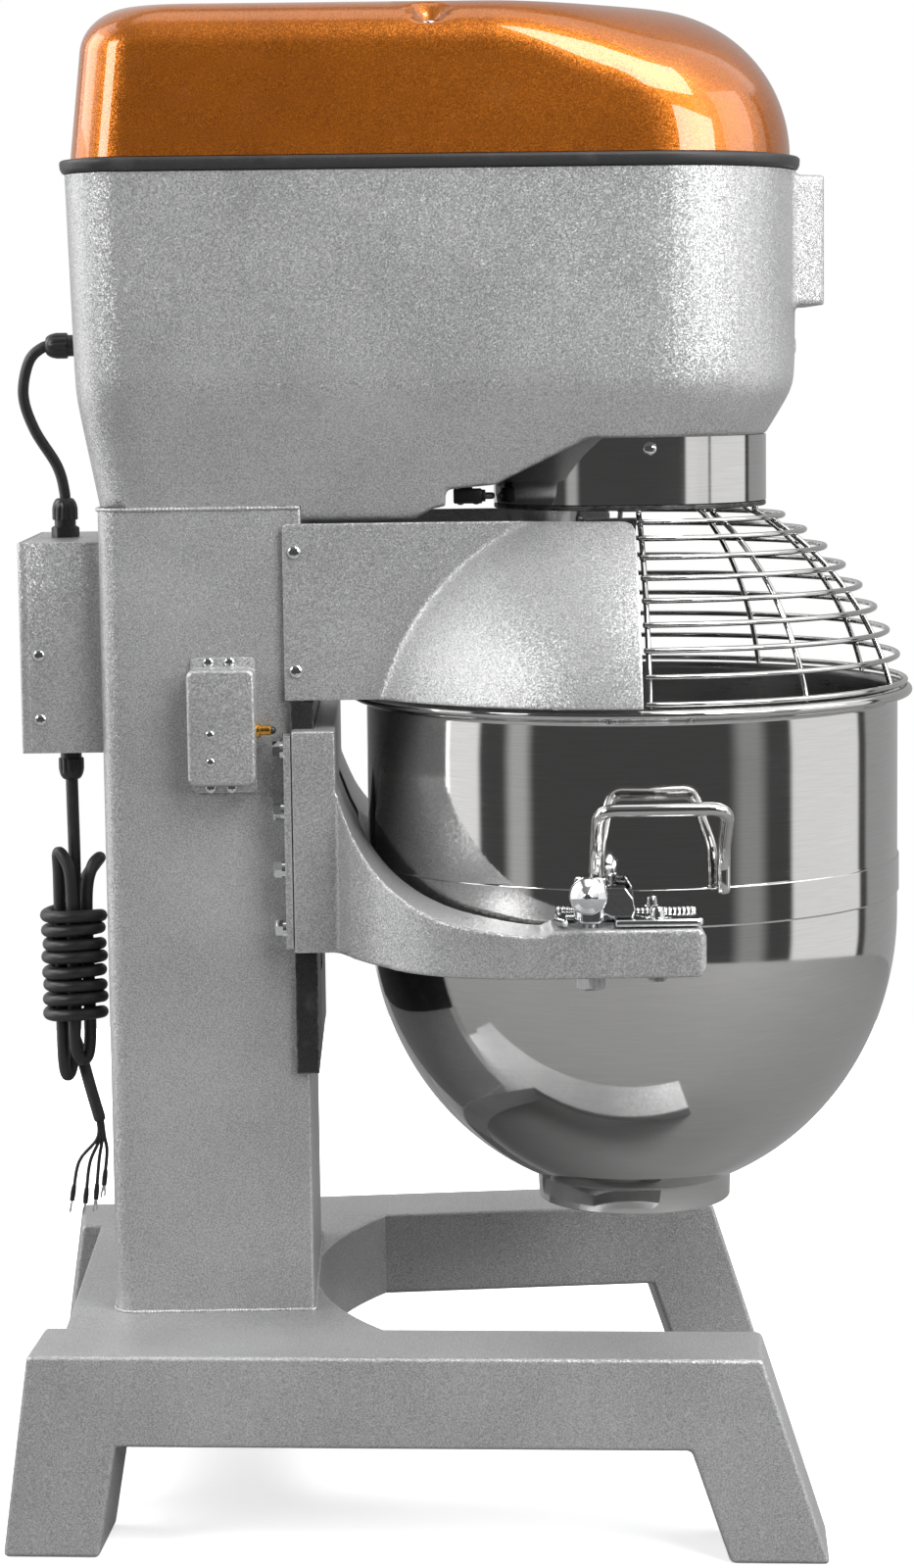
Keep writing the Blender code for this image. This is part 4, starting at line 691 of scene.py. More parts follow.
def fasteners(name, maker, spots, direction, material, body):
    """The same fastener at each spot, as objects that share one mesh; direction points out of the face."""
    global fastener_count
    pattern = finish(maker(), material, body, smooth=30.0)
    mesh = pattern.data
    bpy.data.objects.remove(pattern)
    turn = Vector(direction).to_track_quat("Z", "Y").to_matrix().to_4x4()
    for i, spot in enumerate(spots):
        fastener_count += 1
        obj = link(f"{name}_{i + 1}", mesh)
        obj.matrix_world = Matrix.Translation(spot) @ turn @ Matrix.Rotation(
            fastener_count * GOLDEN_TURN, 4, "Z"
        )
        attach(obj, body)


def weld(name, path, radius, body, ripple=0.0024):
    """A painted weld bead: a thin bar whose thickness ripples along its length."""
    points = [Vector(p) for p in path]
    length = sum((b - a).length for a, b in zip(points, points[1:]))
    steps = max(8, int(length / (ripple / 4)))
    marks = []
    spans = [(b - a).length for a, b in zip(points, points[1:])]
    for i in range(steps + 1):
        wanted = length * i / steps
        index, reach = 0, 0.0
        while index < len(spans) - 1 and reach + spans[index] < wanted:
            reach += spans[index]
            index += 1
        marks.append(points[index].lerp(points[index + 1], min(1.0, (wanted - reach) / spans[index])))

    def thickness(share):
        along = share * length
        slow = 0.12 * math.sin(along * 95.0) + 0.08 * math.sin(along * 241.0 + 1.0)
        return radius * (1.0 + 0.13 * math.sin(2 * math.pi * along / ripple) + slow)

    return finish(tube(name, marks, thickness, 8), "silver_paint", body, smooth=60.0)


# ---------------------------------------------------------------- base and column


def make_base():
    outline = [
        (BASE_LOW.x, 0.0),
        (BASE_LOW.x + 0.081, 0.0),
        (BASE_LOW.x + 0.097, RAIL_BOTTOM),
        (FOOT_FRONT_X - 0.114, RAIL_BOTTOM),
        (FOOT_FRONT_X - 0.082, 0.0),
        (FOOT_FRONT_X, 0.0),
        (FOOT_FRONT_X - 0.055, RAIL_TOP),
        (BASE_LOW.x + 0.024, RAIL_TOP),
    ]
    stretch_x = 1 / math.cos(RAIL_SPLAY)
    for side, label in SIDES:
        local = [((x - FOOT_FRONT_X) * stretch_x, z) for x, z in outline]
        low_y, high_y = sorted((0.0, -side * RAIL_WIDTH))
        rail = prism(f"{label}_rail", local, low_y, high_y, "Y")
        bevel(rail, 0.0042, 4)
        rail.data.transform(
            Matrix.Translation((
                FOOT_FRONT_X, side * BASE_HIGH.y, 0.0
            )) @ Matrix.Rotation(side * RAIL_SPLAY, 4, "Z")
        )
        finish(rail, "silver_paint", "stand", ("base_frame",), weighted=True)


def make_deck():
    """The plate box between the rails, with its round front edge."""
    sweep = math.degrees(math.asin(DECK_HALF / DECK_CUT_RADIUS))
    centre_x = DECK_CUT_X + DECK_CUT_RADIUS
    front_edge = arc(centre_x, 0.0, DECK_CUT_RADIUS, 180.0 + sweep, 180.0 - sweep, 72)
    outline = [(DECK_REAR_X, -DECK_HALF), *front_edge, (DECK_REAR_X, DECK_HALF)]
    deck = prism("deck", outline, RAIL_BOTTOM + 0.0003, RAIL_TOP - 0.0003)
    inner_half = 0.165
    inner_sweep = math.degrees(math.asin(inner_half / (DECK_CUT_RADIUS + 0.008)))
    inner_edge = arc(centre_x, 0.0, DECK_CUT_RADIUS + 0.008, 180.0 + inner_sweep, 180.0 - inner_sweep, 72)
    hollow = prism(
        "deck_hollow",
        [(DECK_REAR_X + 0.008, -inner_half), *inner_edge, (DECK_REAR_X + 0.008, inner_half)],
        RAIL_BOTTOM - 0.02,
        RAIL_TOP - 0.008,
    )
    cut(deck, hollow)
    bevel(deck, 0.0022, 3)
    finish(deck, "silver_paint", "stand", weighted=True)


def column_outline(grow=0.0):
    return rounded_outline(
        COLUMN_LOW.x - grow, COLUMN_HIGH.x + grow, COLUMN_HALF + grow, COLUMN_CORNER + grow, 0.0025 + grow, 10
    )


def make_column():
    column = prism("column_shell", column_outline(), COLUMN_LOW.z, COLUMN_HIGH.z)
    wall, front_wall = 0.006, 0.022
    inside = block(
        "column_inside",
        (COLUMN_LOW.x + wall, -COLUMN_HALF + wall, 0.0),
        (COLUMN_HIGH.x - front_wall, COLUMN_HALF - wall, 1.0),
    )
    pocket = block(
        "way_pocket", (WAY_LOW.x - 0.0003, -0.2, WAY_LOW.z - 0.0003), (0.0, 0.2, WAY_HIGH.z + 0.0003)
    )
    slot = block("nut_slot", (-0.18, -SLOT_HALF, SLOT_BOTTOM), (0.0, SLOT_HALF, SLOT_TOP))
    hole = rod("shaft_hole", 0.0105, 0.0, 0.10, (SCREW_X, 0.10, WHEEL_Z), (0, 1, 0), 32)
    cut(column, inside, pocket, slot, hole)
    finish(column, "silver_paint", "stand", ("column",), smooth=25.0)
    foot = [(x, y, COLUMN_LOW.z + 0.0002) for x, y in column_outline(0.0004)]
    weld("column_foot_weld", foot + foot[:1], 0.0017, "stand")
    top = [(x, y, COLUMN_HIGH.z - 0.0012) for x, y in column_outline(0.0002)]
    weld("column_head_weld", top[21:] + top[:1], 0.0016, "stand", 0.0034)


# ---------------------------------------------------------------- head and cover


def soft_step(value, radius):
    """Zero below zero and the value above it, with a rounded corner between."""
    return (value + math.sqrt(value ** 2 + radius ** 2)) / 2


def head_outline(z, inset=0.0, along=1, across=1):
    lean = 0.341 * soft_step(HEAD_CREASE - z, 0.010)
    rake = (z - HEAD_CREASE) * 0.027
    return rounded_outline(
        HEAD_REAR_X + 0.005 - rake + 0.4 * lean + inset,
        HEAD_FRONT_X - 1.76 * lean - inset,
        HEAD_HALF - lean - inset,
        HEAD_REAR_CORNER - 0.5 * inset,
        HEAD_FRONT_CORNER - 0.5 * inset,
        14,
        along,
        across,
    )


def spaced(low, high, steps):
    return [low + (high - low) * i / steps for i in range(steps + 1)]


def head_loft(name, low, high, steps, inset=0.0):
    rows = [[(x, y, z) for x, y in head_outline(z, inset)] for z in spaced(low, high, steps)]
    return surface(name, rows, close_columns=True, caps=True)


def make_head():
    head = head_loft("head_shell", HEAD_LIP, HEAD_TOP + 0.012, 44)
    boss_front = HEAD_HIGH.x
    boss_outline = [(0.265, -0.088), (boss_front, -0.066), (boss_front, 0.066), (0.265, 0.088)]
    boss = prism("nose_boss", boss_outline, 1.034, HEAD_TOP - 0.004)
    lip_x, nose_z = HEAD_UNDERSIDE[0][0], HEAD_UNDERSIDE[-1][1]
    below_head = [(lip_x, 0.80), (0.45, 0.80), (0.45, nose_z), *reversed(HEAD_UNDERSIDE)]
    underside = prism("head_underside", below_head, -0.25, 0.25, "Y")
    unite(head, boss)
    cut(head, underside)
    cast(head, 0.0026, 4)
    above = block("above_rim", (-0.5, -0.3, HEAD_TOP - 0.0001), (0.5, 0.3, 1.3))
    below = block("below_seam", (-0.5, -0.3, 0.5), (COLUMN_HIGH.x + 0.0003, 0.3, HEAD_SEAM))
    inside = head_loft("head_inside", HEAD_FLOOR, HEAD_TOP + 0.02, 8, HEAD_WALL)
    opening = rod("gear_opening", 0.1130, 0.8, 0.95, (BOWL_X, 0, 0))
    cut(head, above, below, inside, opening, solver="MANIFOLD")
    finish(head, "silver_paint", "stand", ("head_housing",), smooth=50.0)

    section = (
        (0.0, -0.3), (0.10, 0.55), (0.35, 0.9), (0.72, 1.0), (0.88, 0.93), (0.97, 0.6), (1.0, 0.1),
    )
    height = GASKET_HIGH.z - GASKET_LOW.z
    proud = -(HEAD_HALF - GASKET_HIGH.y)
    rows = []
    for up, out in section:
        z = GASKET_LOW.z + height * up
        rows.append([(x, y, z) for x, y in head_outline(HEAD_TOP, -proud * out)])
    for up in (1.0, 0.0):
        z = GASKET_LOW.z + height * up
        rows.append([(x, y, z) for x, y in head_outline(HEAD_TOP, HEAD_WALL)])
    gasket = surface("rim_gasket", rows, close_rows=True, close_columns=True)
    finish(gasket, "rubber", "stand", ("head_gasket",), smooth=50.0)

    low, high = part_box("front_plug")
    plug = lathe(
        "nose_plug",
        [(0.0, 0.0060), (0.0060, 0.0056), (0.0090, 0.0044), (0.0103, 0.0022), (0.0105, 0.0), (0.0, 0.0)],
        (high.x - 0.0060, 0.0, (low.z + high.z) / 2),
        (1, 0, 0),
        48,
    )
    finish(plug, "silver_paint", "stand", ("front_plug",))


def cover_pull(x, z):
    """How far the rounded top edge brings the cover's side in, at a height and a place along it."""
    share = min(1.0, max(0.0, (x - 0.02) / 0.16))
    edge = COVER_EDGE + (COVER_NOSE_EDGE - COVER_EDGE) * share * share * (3 - 2 * share)
    over = max(0.0, edge - (COVER_TOP - z))
    return edge - math.sqrt(max(0.0, edge ** 2 - over ** 2))


def cover_outline(z):
    up = min(1.0, (z - COVER_BOTTOM) / (COVER_TOP - COVER_BOTTOM))
    nose = 0.160 + 0.128 * math.sqrt(max(0.0, 1 - up ** 2))
    tail = HEAD_REAR_X + 0.005 + 0.014 * up + 1.1 * cover_pull(HEAD_REAR_X, z)
    half = 0.166 - 0.004 * up
    outline = rounded_outline(tail, nose, half, HEAD_REAR_CORNER, HEAD_FRONT_CORNER, 18, 44, 20)
    return [(x, y * (1 - cover_pull(x, z) / half)) for x, y in outline]


def dimpled(point, side):
    """Presses the seat of a cover screw into the shoulder."""
    away = math.hypot(point[0] - DIMPLE_X, point[1] - side * DIMPLE_Y)
    share = min(1.0, max(0.0, (0.0145 - away) / 0.0085))
    share = share * share * (3 - 2 * share)
    floor = min(point[2], DIMPLE_FLOOR)
    return (point[0], point[1], point[2] + (floor - point[2]) * share)


def make_cover():
    heights = [COVER_BOTTOM + 0.0004, COVER_BOTTOM + 0.002] + spaced(
        COVER_BOTTOM + 0.006, COVER_TOP - COVER_EDGE, 22
    )[:-1]
    heights += [COVER_TOP - COVER_EDGE * (1 - math.sin(math.radians(a))) for a in range(0, 88, 4)]
    rows = [[(x, y, z) for x, y in cover_outline(z)] for z in heights]
    rim = rows[-1]
    for share in (0.12, 0.28, 0.46, 0.64, 0.82):
        crown = []
        for x, y, z in rim:
            crown.append((
                x + (-0.08 - x) * share * 0.9, y + (0.0 - y) * share, COVER_TOP - 0.0004 * (1 - share)
            ))
        rows.append(crown)
    for side in (-1, 1):
        rows = [[dimpled(p, side) for p in row] for row in rows]
    shape = surface("cover_skin", rows, close_columns=True)
    top = bmesh.new()
    top.from_mesh(shape.data)
    rim_edges = [e for e in top.edges if e.is_boundary and e.verts[0].co.z > COVER_TOP - 0.01]
    bmesh.ops.holes_fill(top, edges=rim_edges, sides=0)
    bmesh.ops.recalc_face_normals(top, faces=top.faces)
    top.to_mesh(shape.data)
    top.free()
    thicken(shape, COVER_SHEET)
    finish(shape, "copper_paint", "stand", ("top_cover",), smooth=60.0)
    spots = [(DIMPLE_X, side * DIMPLE_Y, DIMPLE_FLOOR - 0.0003) for side in (-1, 1)]
    fasteners("cover_screw", lambda: screw_mesh(0.0062), spots, (0, 0, 1), "chrome", "stand")


def slope_height(x):
    """Height of the head's underside above the skirt, less a hair of air."""
    (low_x, low_z), (high_x, high_z) = HEAD_UNDERSIDE[-2:]
    share = (x - low_x) / (high_x - low_x)
    return min(high_z, low_z + (high_z - low_z) * share) - 0.0004


def make_skirt():
    rows = []
    steps = 200
    levels = (0.0, 0.004, 0.012, 0.03, 0.3, 0.6, 0.97, 0.988, 0.996, 1.0)
    for i in range(steps):
        turn = 2 * math.pi * i / steps
        outer_x = BOWL_X + SKIRT_RADIUS * math.cos(turn)
        top = slope_height(outer_x - 0.0015)
        row = []
        for share in levels:
            z = SKIRT_LOW.z + (top - SKIRT_LOW.z) * share
            reach = SKIRT_RADIUS - (0.0005 if share in (0.0, 1.0) else 0.0)
            row.append((BOWL_X + reach * math.cos(turn), reach * math.sin(turn), z))
        for share in reversed(levels):
            z = SKIRT_LOW.z + (top - SKIRT_LOW.z) * share
            reach = SKIRT_RADIUS - SKIRT_SHEET + (0.0004 if share in (0.0, 1.0) else 0.0)
            row.append((BOWL_X + reach * math.cos(turn), reach * math.sin(turn), z))
        rows.append(row)
    skirt = surface("skirt_band", rows, close_rows=True, close_columns=True)
    finish(skirt, "stainless", "stand", ("drip_skirt",))
    screw_z = SKIRT_HIGH.z - 0.0095
    for index in range(3):
        angle = math.radians(120.0 * index - 85.5)
        out = Vector((math.cos(angle), math.sin(angle), 0.0))
        spot = Vector((BOWL_X, 0.0, screw_z)) + out * (SKIRT_RADIUS - 0.0002)
        fasteners(f"skirt_screw_{index + 1}", lambda: screw_mesh(0.0058), [spot], out, "chrome", "stand")


# ---------------------------------------------------------------- guard, ring and shields


def guard_point(height_angle, around, inward=0.0):
    """A point on the guard's surface: degrees up its arc, and degrees round the bowl axis from +X."""
    up = math.radians(height_angle)
    radius = GUARD_OFFSET + (GUARD_RADIUS - inward) * math.cos(up)
    turn = math.radians(around)
    height = GUARD_Z + (GUARD_RADIUS - inward) * math.sin(up)
    return Vector((BOWL_X + radius * math.cos(turn), radius * math.sin(turn), height))


def make_guard():
    low_z, high_z = RING_LOW.z, RING_HIGH.z
    outer, inner = RING_HIGH.x - BOWL_X, 0.1128
    edge = 0.0009
    profile = [
        (outer - edge, high_z), (outer, high_z - edge), (outer, low_z + edge), (outer - edge, low_z),
        (inner + edge, low_z), (inner, low_z + edge), (inner, high_z - edge), (inner + edge, high_z),
    ]
    ring = lathe("guard_top_ring", profile, (BOWL_X, 0, 0), steps=144)
    finish(ring, "black_steel", "guard", ("guard_ring",))

    hoops = []
    spots = []
    for i in range(GUARD_HOOPS):
        up = GUARD_LOWEST + (GUARD_HIGHEST - GUARD_LOWEST) * i / (GUARD_HOOPS - 1)
        steps = 84
        path = [guard_point(up, -90.6 + 181.2 * k / steps) for k in range(steps + 1)]
        hoops.append(tube(f"hoop_{i}", path, GUARD_WIRE, 12))
        for around in GUARD_RIBS:
            spots.append(guard_point(up, around, 0.75 * GUARD_WIRE))
    finish(join("guard_hoops", hoops), "stainless", "guard", ("wire_guard",), smooth=60.0)

    ribs = []
    inward = 1.5 * GUARD_WIRE
    for i, around in enumerate(GUARD_RIBS):
        steps = 30
        lowest = GUARD_LOWEST - 0.3
        path = [
            guard_point(lowest + (GUARD_HIGHEST - lowest) * k / steps, around, inward)
            for k in range(steps + 1)
        ]
        turn = math.radians(around)
        foot = Vector((BOWL_X + 0.1170 * math.cos(turn), 0.1170 * math.sin(turn), RING_LOW.z - 0.0004))
        bend = smooth_path([path[-2], path[-1], foot - Vector((0, 0, 0.0036)), foot], 6)
        ribs.append(tube(f"rib_{i}", path[:-1] + bend[6:], GUARD_WIRE, 12))
    finish(join("guard_ribs", ribs), "stainless", "guard", smooth=60.0)

    blobs = []
    for index, spot in enumerate(spots):
        size = GUARD_WIRE * (0.86 + 0.10 * math.sin(index * 2.3))
        blobs.append(lathe(f"spot_{index}", ball_profile(size), spot, steps=10))
    finish(join("guard_spot_welds", blobs), "stainless", "guard", smooth=60.0)


def shield_y(x, z):
    """Distance of the shield's outer face from the middle plane: a flat cheek that swells into a ball."""
    dome = math.sqrt(max(0.0, SHIELD_RADIUS ** 2 - (x - BOWL_X) ** 2 - (z - SHIELD_Z) ** 2))
    cheek = SHIELD_FLAT + SHIELD_SHEET
    return cheek + soft_step(dome - cheek, 0.0042)


def make_shield(label, side):
    low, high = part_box(f"{label}_shield")
    rear_x, front_x = low.x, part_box("left_shield")[1].x
    corner_front, corner_rear = 0.009, 0.004
    columns, rows_count = 120, 62
    rows = []
    for i in range(rows_count + 1):
        share = i / rows_count
        z = low.z + (high.z - low.z) * share
        rear, front = rear_x, front_x
        gap = z - (high.z - corner_front)
        if gap > 0:
            front -= corner_front - math.sqrt(max(0.0, corner_front ** 2 - gap ** 2))
        gap = z - (high.z - corner_rear)
        if gap > 0:
            rear += corner_rear - math.sqrt(max(0.0, corner_rear ** 2 - gap ** 2))
        row = []
        for x in spaced(rear, front, columns):
            row.append((x, side * shield_y(x, z), z))
        rows.append(row)
    sheet = surface(f"{label}_shield_sheet", rows)
    if sum(p.normal.y for p in sheet.data.polygons) * side < 0:
        sheet.data.flip_normals()
    thicken(sheet, SHIELD_SHEET, even=True)
    bevel(sheet, 0.0008, 2, 60.0)
    finish(sheet, "silver_paint", "stand", (f"{label}_shield",), smooth=40.0)
    spots = []
    for z in (0.831, 0.730):
        spots.append((SHIELD_LOW.x + 0.010, side * (SHIELD_FLAT + SHIELD_SHEET + 0.0002), z))
    fasteners(f"{label}_shield_screw", lambda: screw_mesh(0.0056), spots, (0, side, 0), "chrome", "stand")


def sphere_patch(name, radius, low_x, high_x, low_z, high_z):
    """Part of a thin ball shell about the bowl axis on the far side, between two X and two Z planes."""
    rows = []
    for z in spaced(low_z, high_z, 24):
        row = []
        for x in spaced(low_x, high_x, 16):
            y = math.sqrt(radius ** 2 - (x - BOWL_X) ** 2 - (z - SHIELD_Z) ** 2)
            row.append((x, y, z))
        rows.append(row)
    patch = surface(name, rows)
    if sum(p.normal.y for p in patch.data.polygons) < 0:
        patch.data.flip_normals()
    thicken(patch, SHIELD_SHEET)
    return bevel(patch, 0.0006, 2, 60.0)


def make_guide_tabs():
    tabs = [
        sphere_patch("tab_low", 0.2390, 0.1155, 0.165, SHIELD_LOW.z, 0.757),
        sphere_patch("tab_high", 0.2390, 0.1155, 0.165, 0.790, SHIELD_HIGH.z - 0.010),
    ]
    rows = []
    for z in spaced(SHIELD_LOW.z, SHIELD_HIGH.z - 0.010, 30):
        across = math.sqrt(0.2362 ** 2 - 0.037 ** 2 - (z - SHIELD_Z) ** 2)
        outer = math.sqrt(0.2680 ** 2 - 0.037 ** 2 - (z - SHIELD_Z) ** 2)
        rows.append([(0.1120, across, z), (0.1120, outer, z), (0.1150, outer, z), (0.1150, across, z)])
    web = surface("tab_web", rows, close_columns=True, caps=True)
    finish(join("guide_tabs", [*tabs, web]), "silver_paint", "stand", smooth=40.0)


# ---------------------------------------------------------------- bowl


def bottom_z(radius, wall=BOWL_RADIUS, depth=BOWL_DEPTH):
    return KNEE_Z - depth * math.sqrt(max(0.0, 1 - (radius / wall) ** 2))


def make_bowl():
    wall = BOWL_RADIUS
    outside = arc(BEAD_RADIUS, BEAD_Z, BEAD, 150.0, -135.0, 22)
    outside += arc(wall + 0.0045, BEAD_Z - 0.0098, 0.0045, 80.0, 180.0, 6)
    outside += [(wall, z) for z in (0.66, 0.62, 0.58)]
    outside += [
        (wall, BAND_HIGH + 0.0020),
        (wall, BAND_HIGH + 0.0003),
        (wall + 0.0002, BAND_HIGH),
        (wall + BAND_PROUD - 0.0002, BAND_HIGH),
        (wall + BAND_PROUD, BAND_HIGH - 0.0002),
        (wall + BAND_PROUD, BAND_HIGH - 0.0015),
        (wall + BAND_PROUD, BAND_LOW + 0.0015),
        (wall + BAND_PROUD, BAND_LOW + 0.0002),
        (wall + BAND_PROUD - 0.0002, BAND_LOW),
        (wall + 0.0002, BAND_LOW),
        (wall, BAND_LOW - 0.0003),
        (wall, BAND_LOW - 0.0020),
        (wall, 0.508),
    ]
    for step in range(0, 33):
        radius = wall * math.cos(math.radians(step * 2.06))
        outside.append((radius, bottom_z(radius)))
    ring = FOOT_RING
    outside += [
        (ring + 0.0022, bottom_z(ring + 0.0022)),
        (ring + 0.0006, bottom_z(ring) - 0.0016),
        (ring, FOOT_BOTTOM + 0.004),
        (ring, FOOT_BOTTOM + 0.0008),
        (ring - 0.0008, FOOT_BOTTOM),
        (ring - 0.0032, FOOT_BOTTOM),
        (ring - 0.0040, FOOT_BOTTOM + 0.0008),
        (ring - 0.0040, bottom_z(ring - 0.004)),
        (0.060, bottom_z(0.060)),
        (0.035, bottom_z(0.035)),
        (0.0, bottom_z(0.0)),
    ]
    inner, depth = wall - BOWL_SHEET, BOWL_DEPTH - BOWL_SHEET
    inside = [(0.0, KNEE_Z - depth)]
    for step in range(40, -1, -1):
        radius = inner * math.cos(math.radians(step * 2.15))
        inside.append((radius, bottom_z(radius, inner, depth)))
    inside += [(inner, z) for z in (0.55, 0.60, 0.65)]
    inside += arc(BEAD_RADIUS, BEAD_Z - 0.002, BEAD_RADIUS - inner, 180.0, 150.0, 4)
    profile = inside + outside
    rows = []
    steps = 240
    for i in range(steps):
        turn = 2 * math.pi * i / steps
        rows.append([(BOWL_X + r * math.cos(turn), r * math.sin(turn), z) for r, z in profile])
    bowl = surface("bowl_shell", rows, close_rows=True, close_columns=True)
    finish(bowl, "stainless", "bowl_lift", ("bowl",), smooth=38.0)
    # The bowl's inner faces and inner floor take the darker copy of the stainless: painted shade inside the
    # bowl.
    bowl.data.materials.append(BOWL_INSIDE_SHADED)
    for face in bowl.data.polygons:
        outward = Vector((face.center.x - BOWL_X, face.center.y, 0.0))
        faces_in = face.normal.dot(outward) < 0
        on_the_floor = face.normal.z > 0.5 and face.center.z < KNEE_Z
        face.material_index = int(faces_in or on_the_floor)


def ear_outline(side):
    """The bowl's ear: a plate beside the clamp and round the locating pin, seen from above."""
    rear, front = BOWL_X - 0.080, BOWL_X + 0.040
    slot_rear, slot_front = CLAMP_X - 0.0195, CLAMP_X + 0.0195
    inner, waist, outer = 0.2362, 0.2485, 0.2858
    points = [
        (rear, inner - 0.010),
        (front, inner - 0.004),
        *[(
            front - 0.006 + 0.006 * math.cos(math.radians(a)),
            outer - 0.006 + 0.006 * math.sin(math.radians(a))
        )
          for a in (0, 30, 60, 90)],
        (slot_front, outer),
        (slot_front, waist),
        (slot_rear, waist),
        (slot_rear, outer - 0.004),
        (slot_rear - 0.004, outer - 0.001),
        (rear + 0.004, outer - 0.008),
        (rear, outer - 0.014),
    ]
    return [(x, side * y) for x, y in points]


def make_ears():
    low_z, high_z = ARM_TOP + 0.0013, ARM_TOP + 0.0075
    for side, label in SIDES:
        ear = prism(f"{label}_ear_plate", ear_outline(side), low_z, high_z)
        hole = rod("pin_hole", 0.0068, 0.0, 0.1, (PIN_X, side * CLAMP_Y, 0.5), steps=32)
        room = rod("bowl_room", BOWL_RADIUS - 0.001, 0.5, 0.6, (BOWL_X, 0, 0), steps=160)
        cut(ear, hole, room)
        bevel(ear, 0.0026, 4, 60.0)
        finish(ear, "chrome", "bowl_lift", smooth=40.0)
        weld_path = []
        for x in spaced(BOWL_X - 0.076, BOWL_X + 0.036, 24):
            reach = BOWL_RADIUS + 0.0012
            weld_path.append((x, side * math.sqrt(reach ** 2 - (x - BOWL_X) ** 2), high_z + 0.0002))
        bead = weld(f"{label}_ear_weld", weld_path, 0.0027, "bowl_lift", 0.0038)
        bead.data.materials.clear()
        bead.data.materials.append(FINISHES["stainless"])


def make_handles():
    rear, front = BOWL_X - 0.046, BOWL_X + 0.060
    for side, label in SIDES:
        grip_y, root_y = side * 0.290, side * 0.2435
        path = [
            (rear, root_y, 0.5525),
            (rear, root_y, 0.583),
            (rear, grip_y, 0.6255),
            (front, grip_y, 0.6255),
            (front, root_y, 0.583),
            (front, root_y, 0.5525),
        ]
        handle = tube(f"{label}_handle_bar", round_corners(path, 0.0165, 10), 0.0055, 20)
        finish(handle, "stainless", "bowl_lift", (f"{label}_bowl_handle",), smooth=60.0)
        pads = []
        for x in (rear, front):
            reach = math.sqrt((BOWL_RADIUS + 0.0006) ** 2 - (x - BOWL_X) ** 2)
            for k, z in enumerate((0.557, 0.5645, 0.572)):
                pads.append(lathe(
                    f"pad_{k}", ball_profile(0.0030), (x, side * (reach + 0.0015), z), steps=12
                ))
        finish(join(f"{label}_handle_welds", pads), "stainless", "bowl_lift", smooth=60.0)


# ---------------------------------------------------------------- yoke and clamps


def make_yoke():
    yoke = block(
        "yoke_casting", (WAY_LOW.x, -YOKE_HALF, YOKE_LOW.z + 0.004),
        (YOKE_FRONT_X, YOKE_HALF, YOKE_HIGH.z)
    )
    side_view = [
        (YOKE_FRONT_X - 0.012, ARM_BOTTOM + 0.004),
        (YOKE_FRONT_X + 0.06, ARM_BOTTOM),
        (ARM_TIP_X - 0.006, ARM_BOTTOM),
        (ARM_TIP_X, ARM_BOTTOM + 0.006),
        (ARM_TIP_X, ARM_TOP - 0.006),
        (ARM_TIP_X - 0.006, ARM_TOP),
        (0.066, ARM_TOP),
        (0.058, ARM_TOP - 0.004),
        (0.030, 0.5245),
        (-0.020, 0.5330),
        (-0.055, 0.5480),
        (-0.080, 0.5690),
        (-0.098, 0.5950),
        (YOKE_FRONT_X, 0.6300),
        (YOKE_FRONT_X - 0.012, 0.6300),
    ]
    plan = [
        (YOKE_FRONT_X - 0.012, 0.0215),
        *arc(BOWL_X, 0.0, ARM_INNER, 175.0, 90.0, 40),
        (ARM_TIP_X, ARM_INNER),
        *arc(ARM_TIP_X - 0.007, ARM_OUTER - 0.007, 0.007, 0.0, 90.0, 6),
    ]
    curve = smooth_path([(x, z, 0.0) for x, z in side_view[7:14]], 6)
    side_view = side_view[:7] + [(p.x, p.y) for p in curve] + side_view[14:]
    root = [
        (0.060, ARM_OUTER, 0.0),
        (0.010, 0.286, 0.0),
        (-0.035, 0.266, 0.0),
        (-0.075, 0.226, 0.0),
        (-0.098, 0.190, 0.0),
        (YOKE_FRONT_X, YOKE_HALF - 0.001, 0.0),
        (YOKE_FRONT_X - 0.012, 0.150, 0.0),
    ]
    plan += [(p.x, p.y) for p in smooth_path(root, 6)]
    arms = []
    for side in (-1, 1):
        low_y, high_y = sorted((side * 0.01, side * 0.32))
        arm = prism(f"arm_{side}", side_view, low_y, high_y, "Y")
        top_view = prism(f"arm_plan_{side}", [(x, side * y) for x, y in plan], 0.45, 0.66)
        arms.append(keep_inside(arm, top_view))
    unite(yoke, *arms)
    cast(yoke, 0.0017, 4)
    channel = block(
        "way_channel", (-0.2, -WAY_HIGH.y - 0.0006, 0.4), (WAY_HIGH.x + 0.0003, WAY_HIGH.y + 0.0006, 0.8)
    )
    holes = []
    for side in (-1, 1):
        holes.append(
            rod("post_hole", 0.0068, 0.0, 0.2, (CLAMP_X, side * CLAMP_Y, 0.42), steps=32)
        )
    cut(yoke, channel, *holes, solver="MANIFOLD")
    finish(yoke, "silver_paint", "bowl_lift", ("bowl_yoke",), smooth=50.0)
    for side, label in SIDES:
        pin = lathe(
            f"{label}_locating_pin",
            [
                (0.0, 0.0165), (0.0036, 0.0163), (0.0047, 0.0156), (0.0051, 0.0142),
                (0.0060, 0.0085), (0.0062, 0.0), (0.0, 0.0),
            ],
            (PIN_X, side * CLAMP_Y, ARM_TOP - 0.0006),
            steps=40,
        )
        finish(pin, "chrome", "bowl_lift")
    spots = [(PIN_X, side * CLAMP_Y, ARM_BOTTOM + 0.0002) for side in (-1, 1)]
    fasteners("pin_nut", lambda: hex_mesh(0.014, 0.0045, 0.0016), spots, (0, 0, -1), "steel", "bowl_lift")


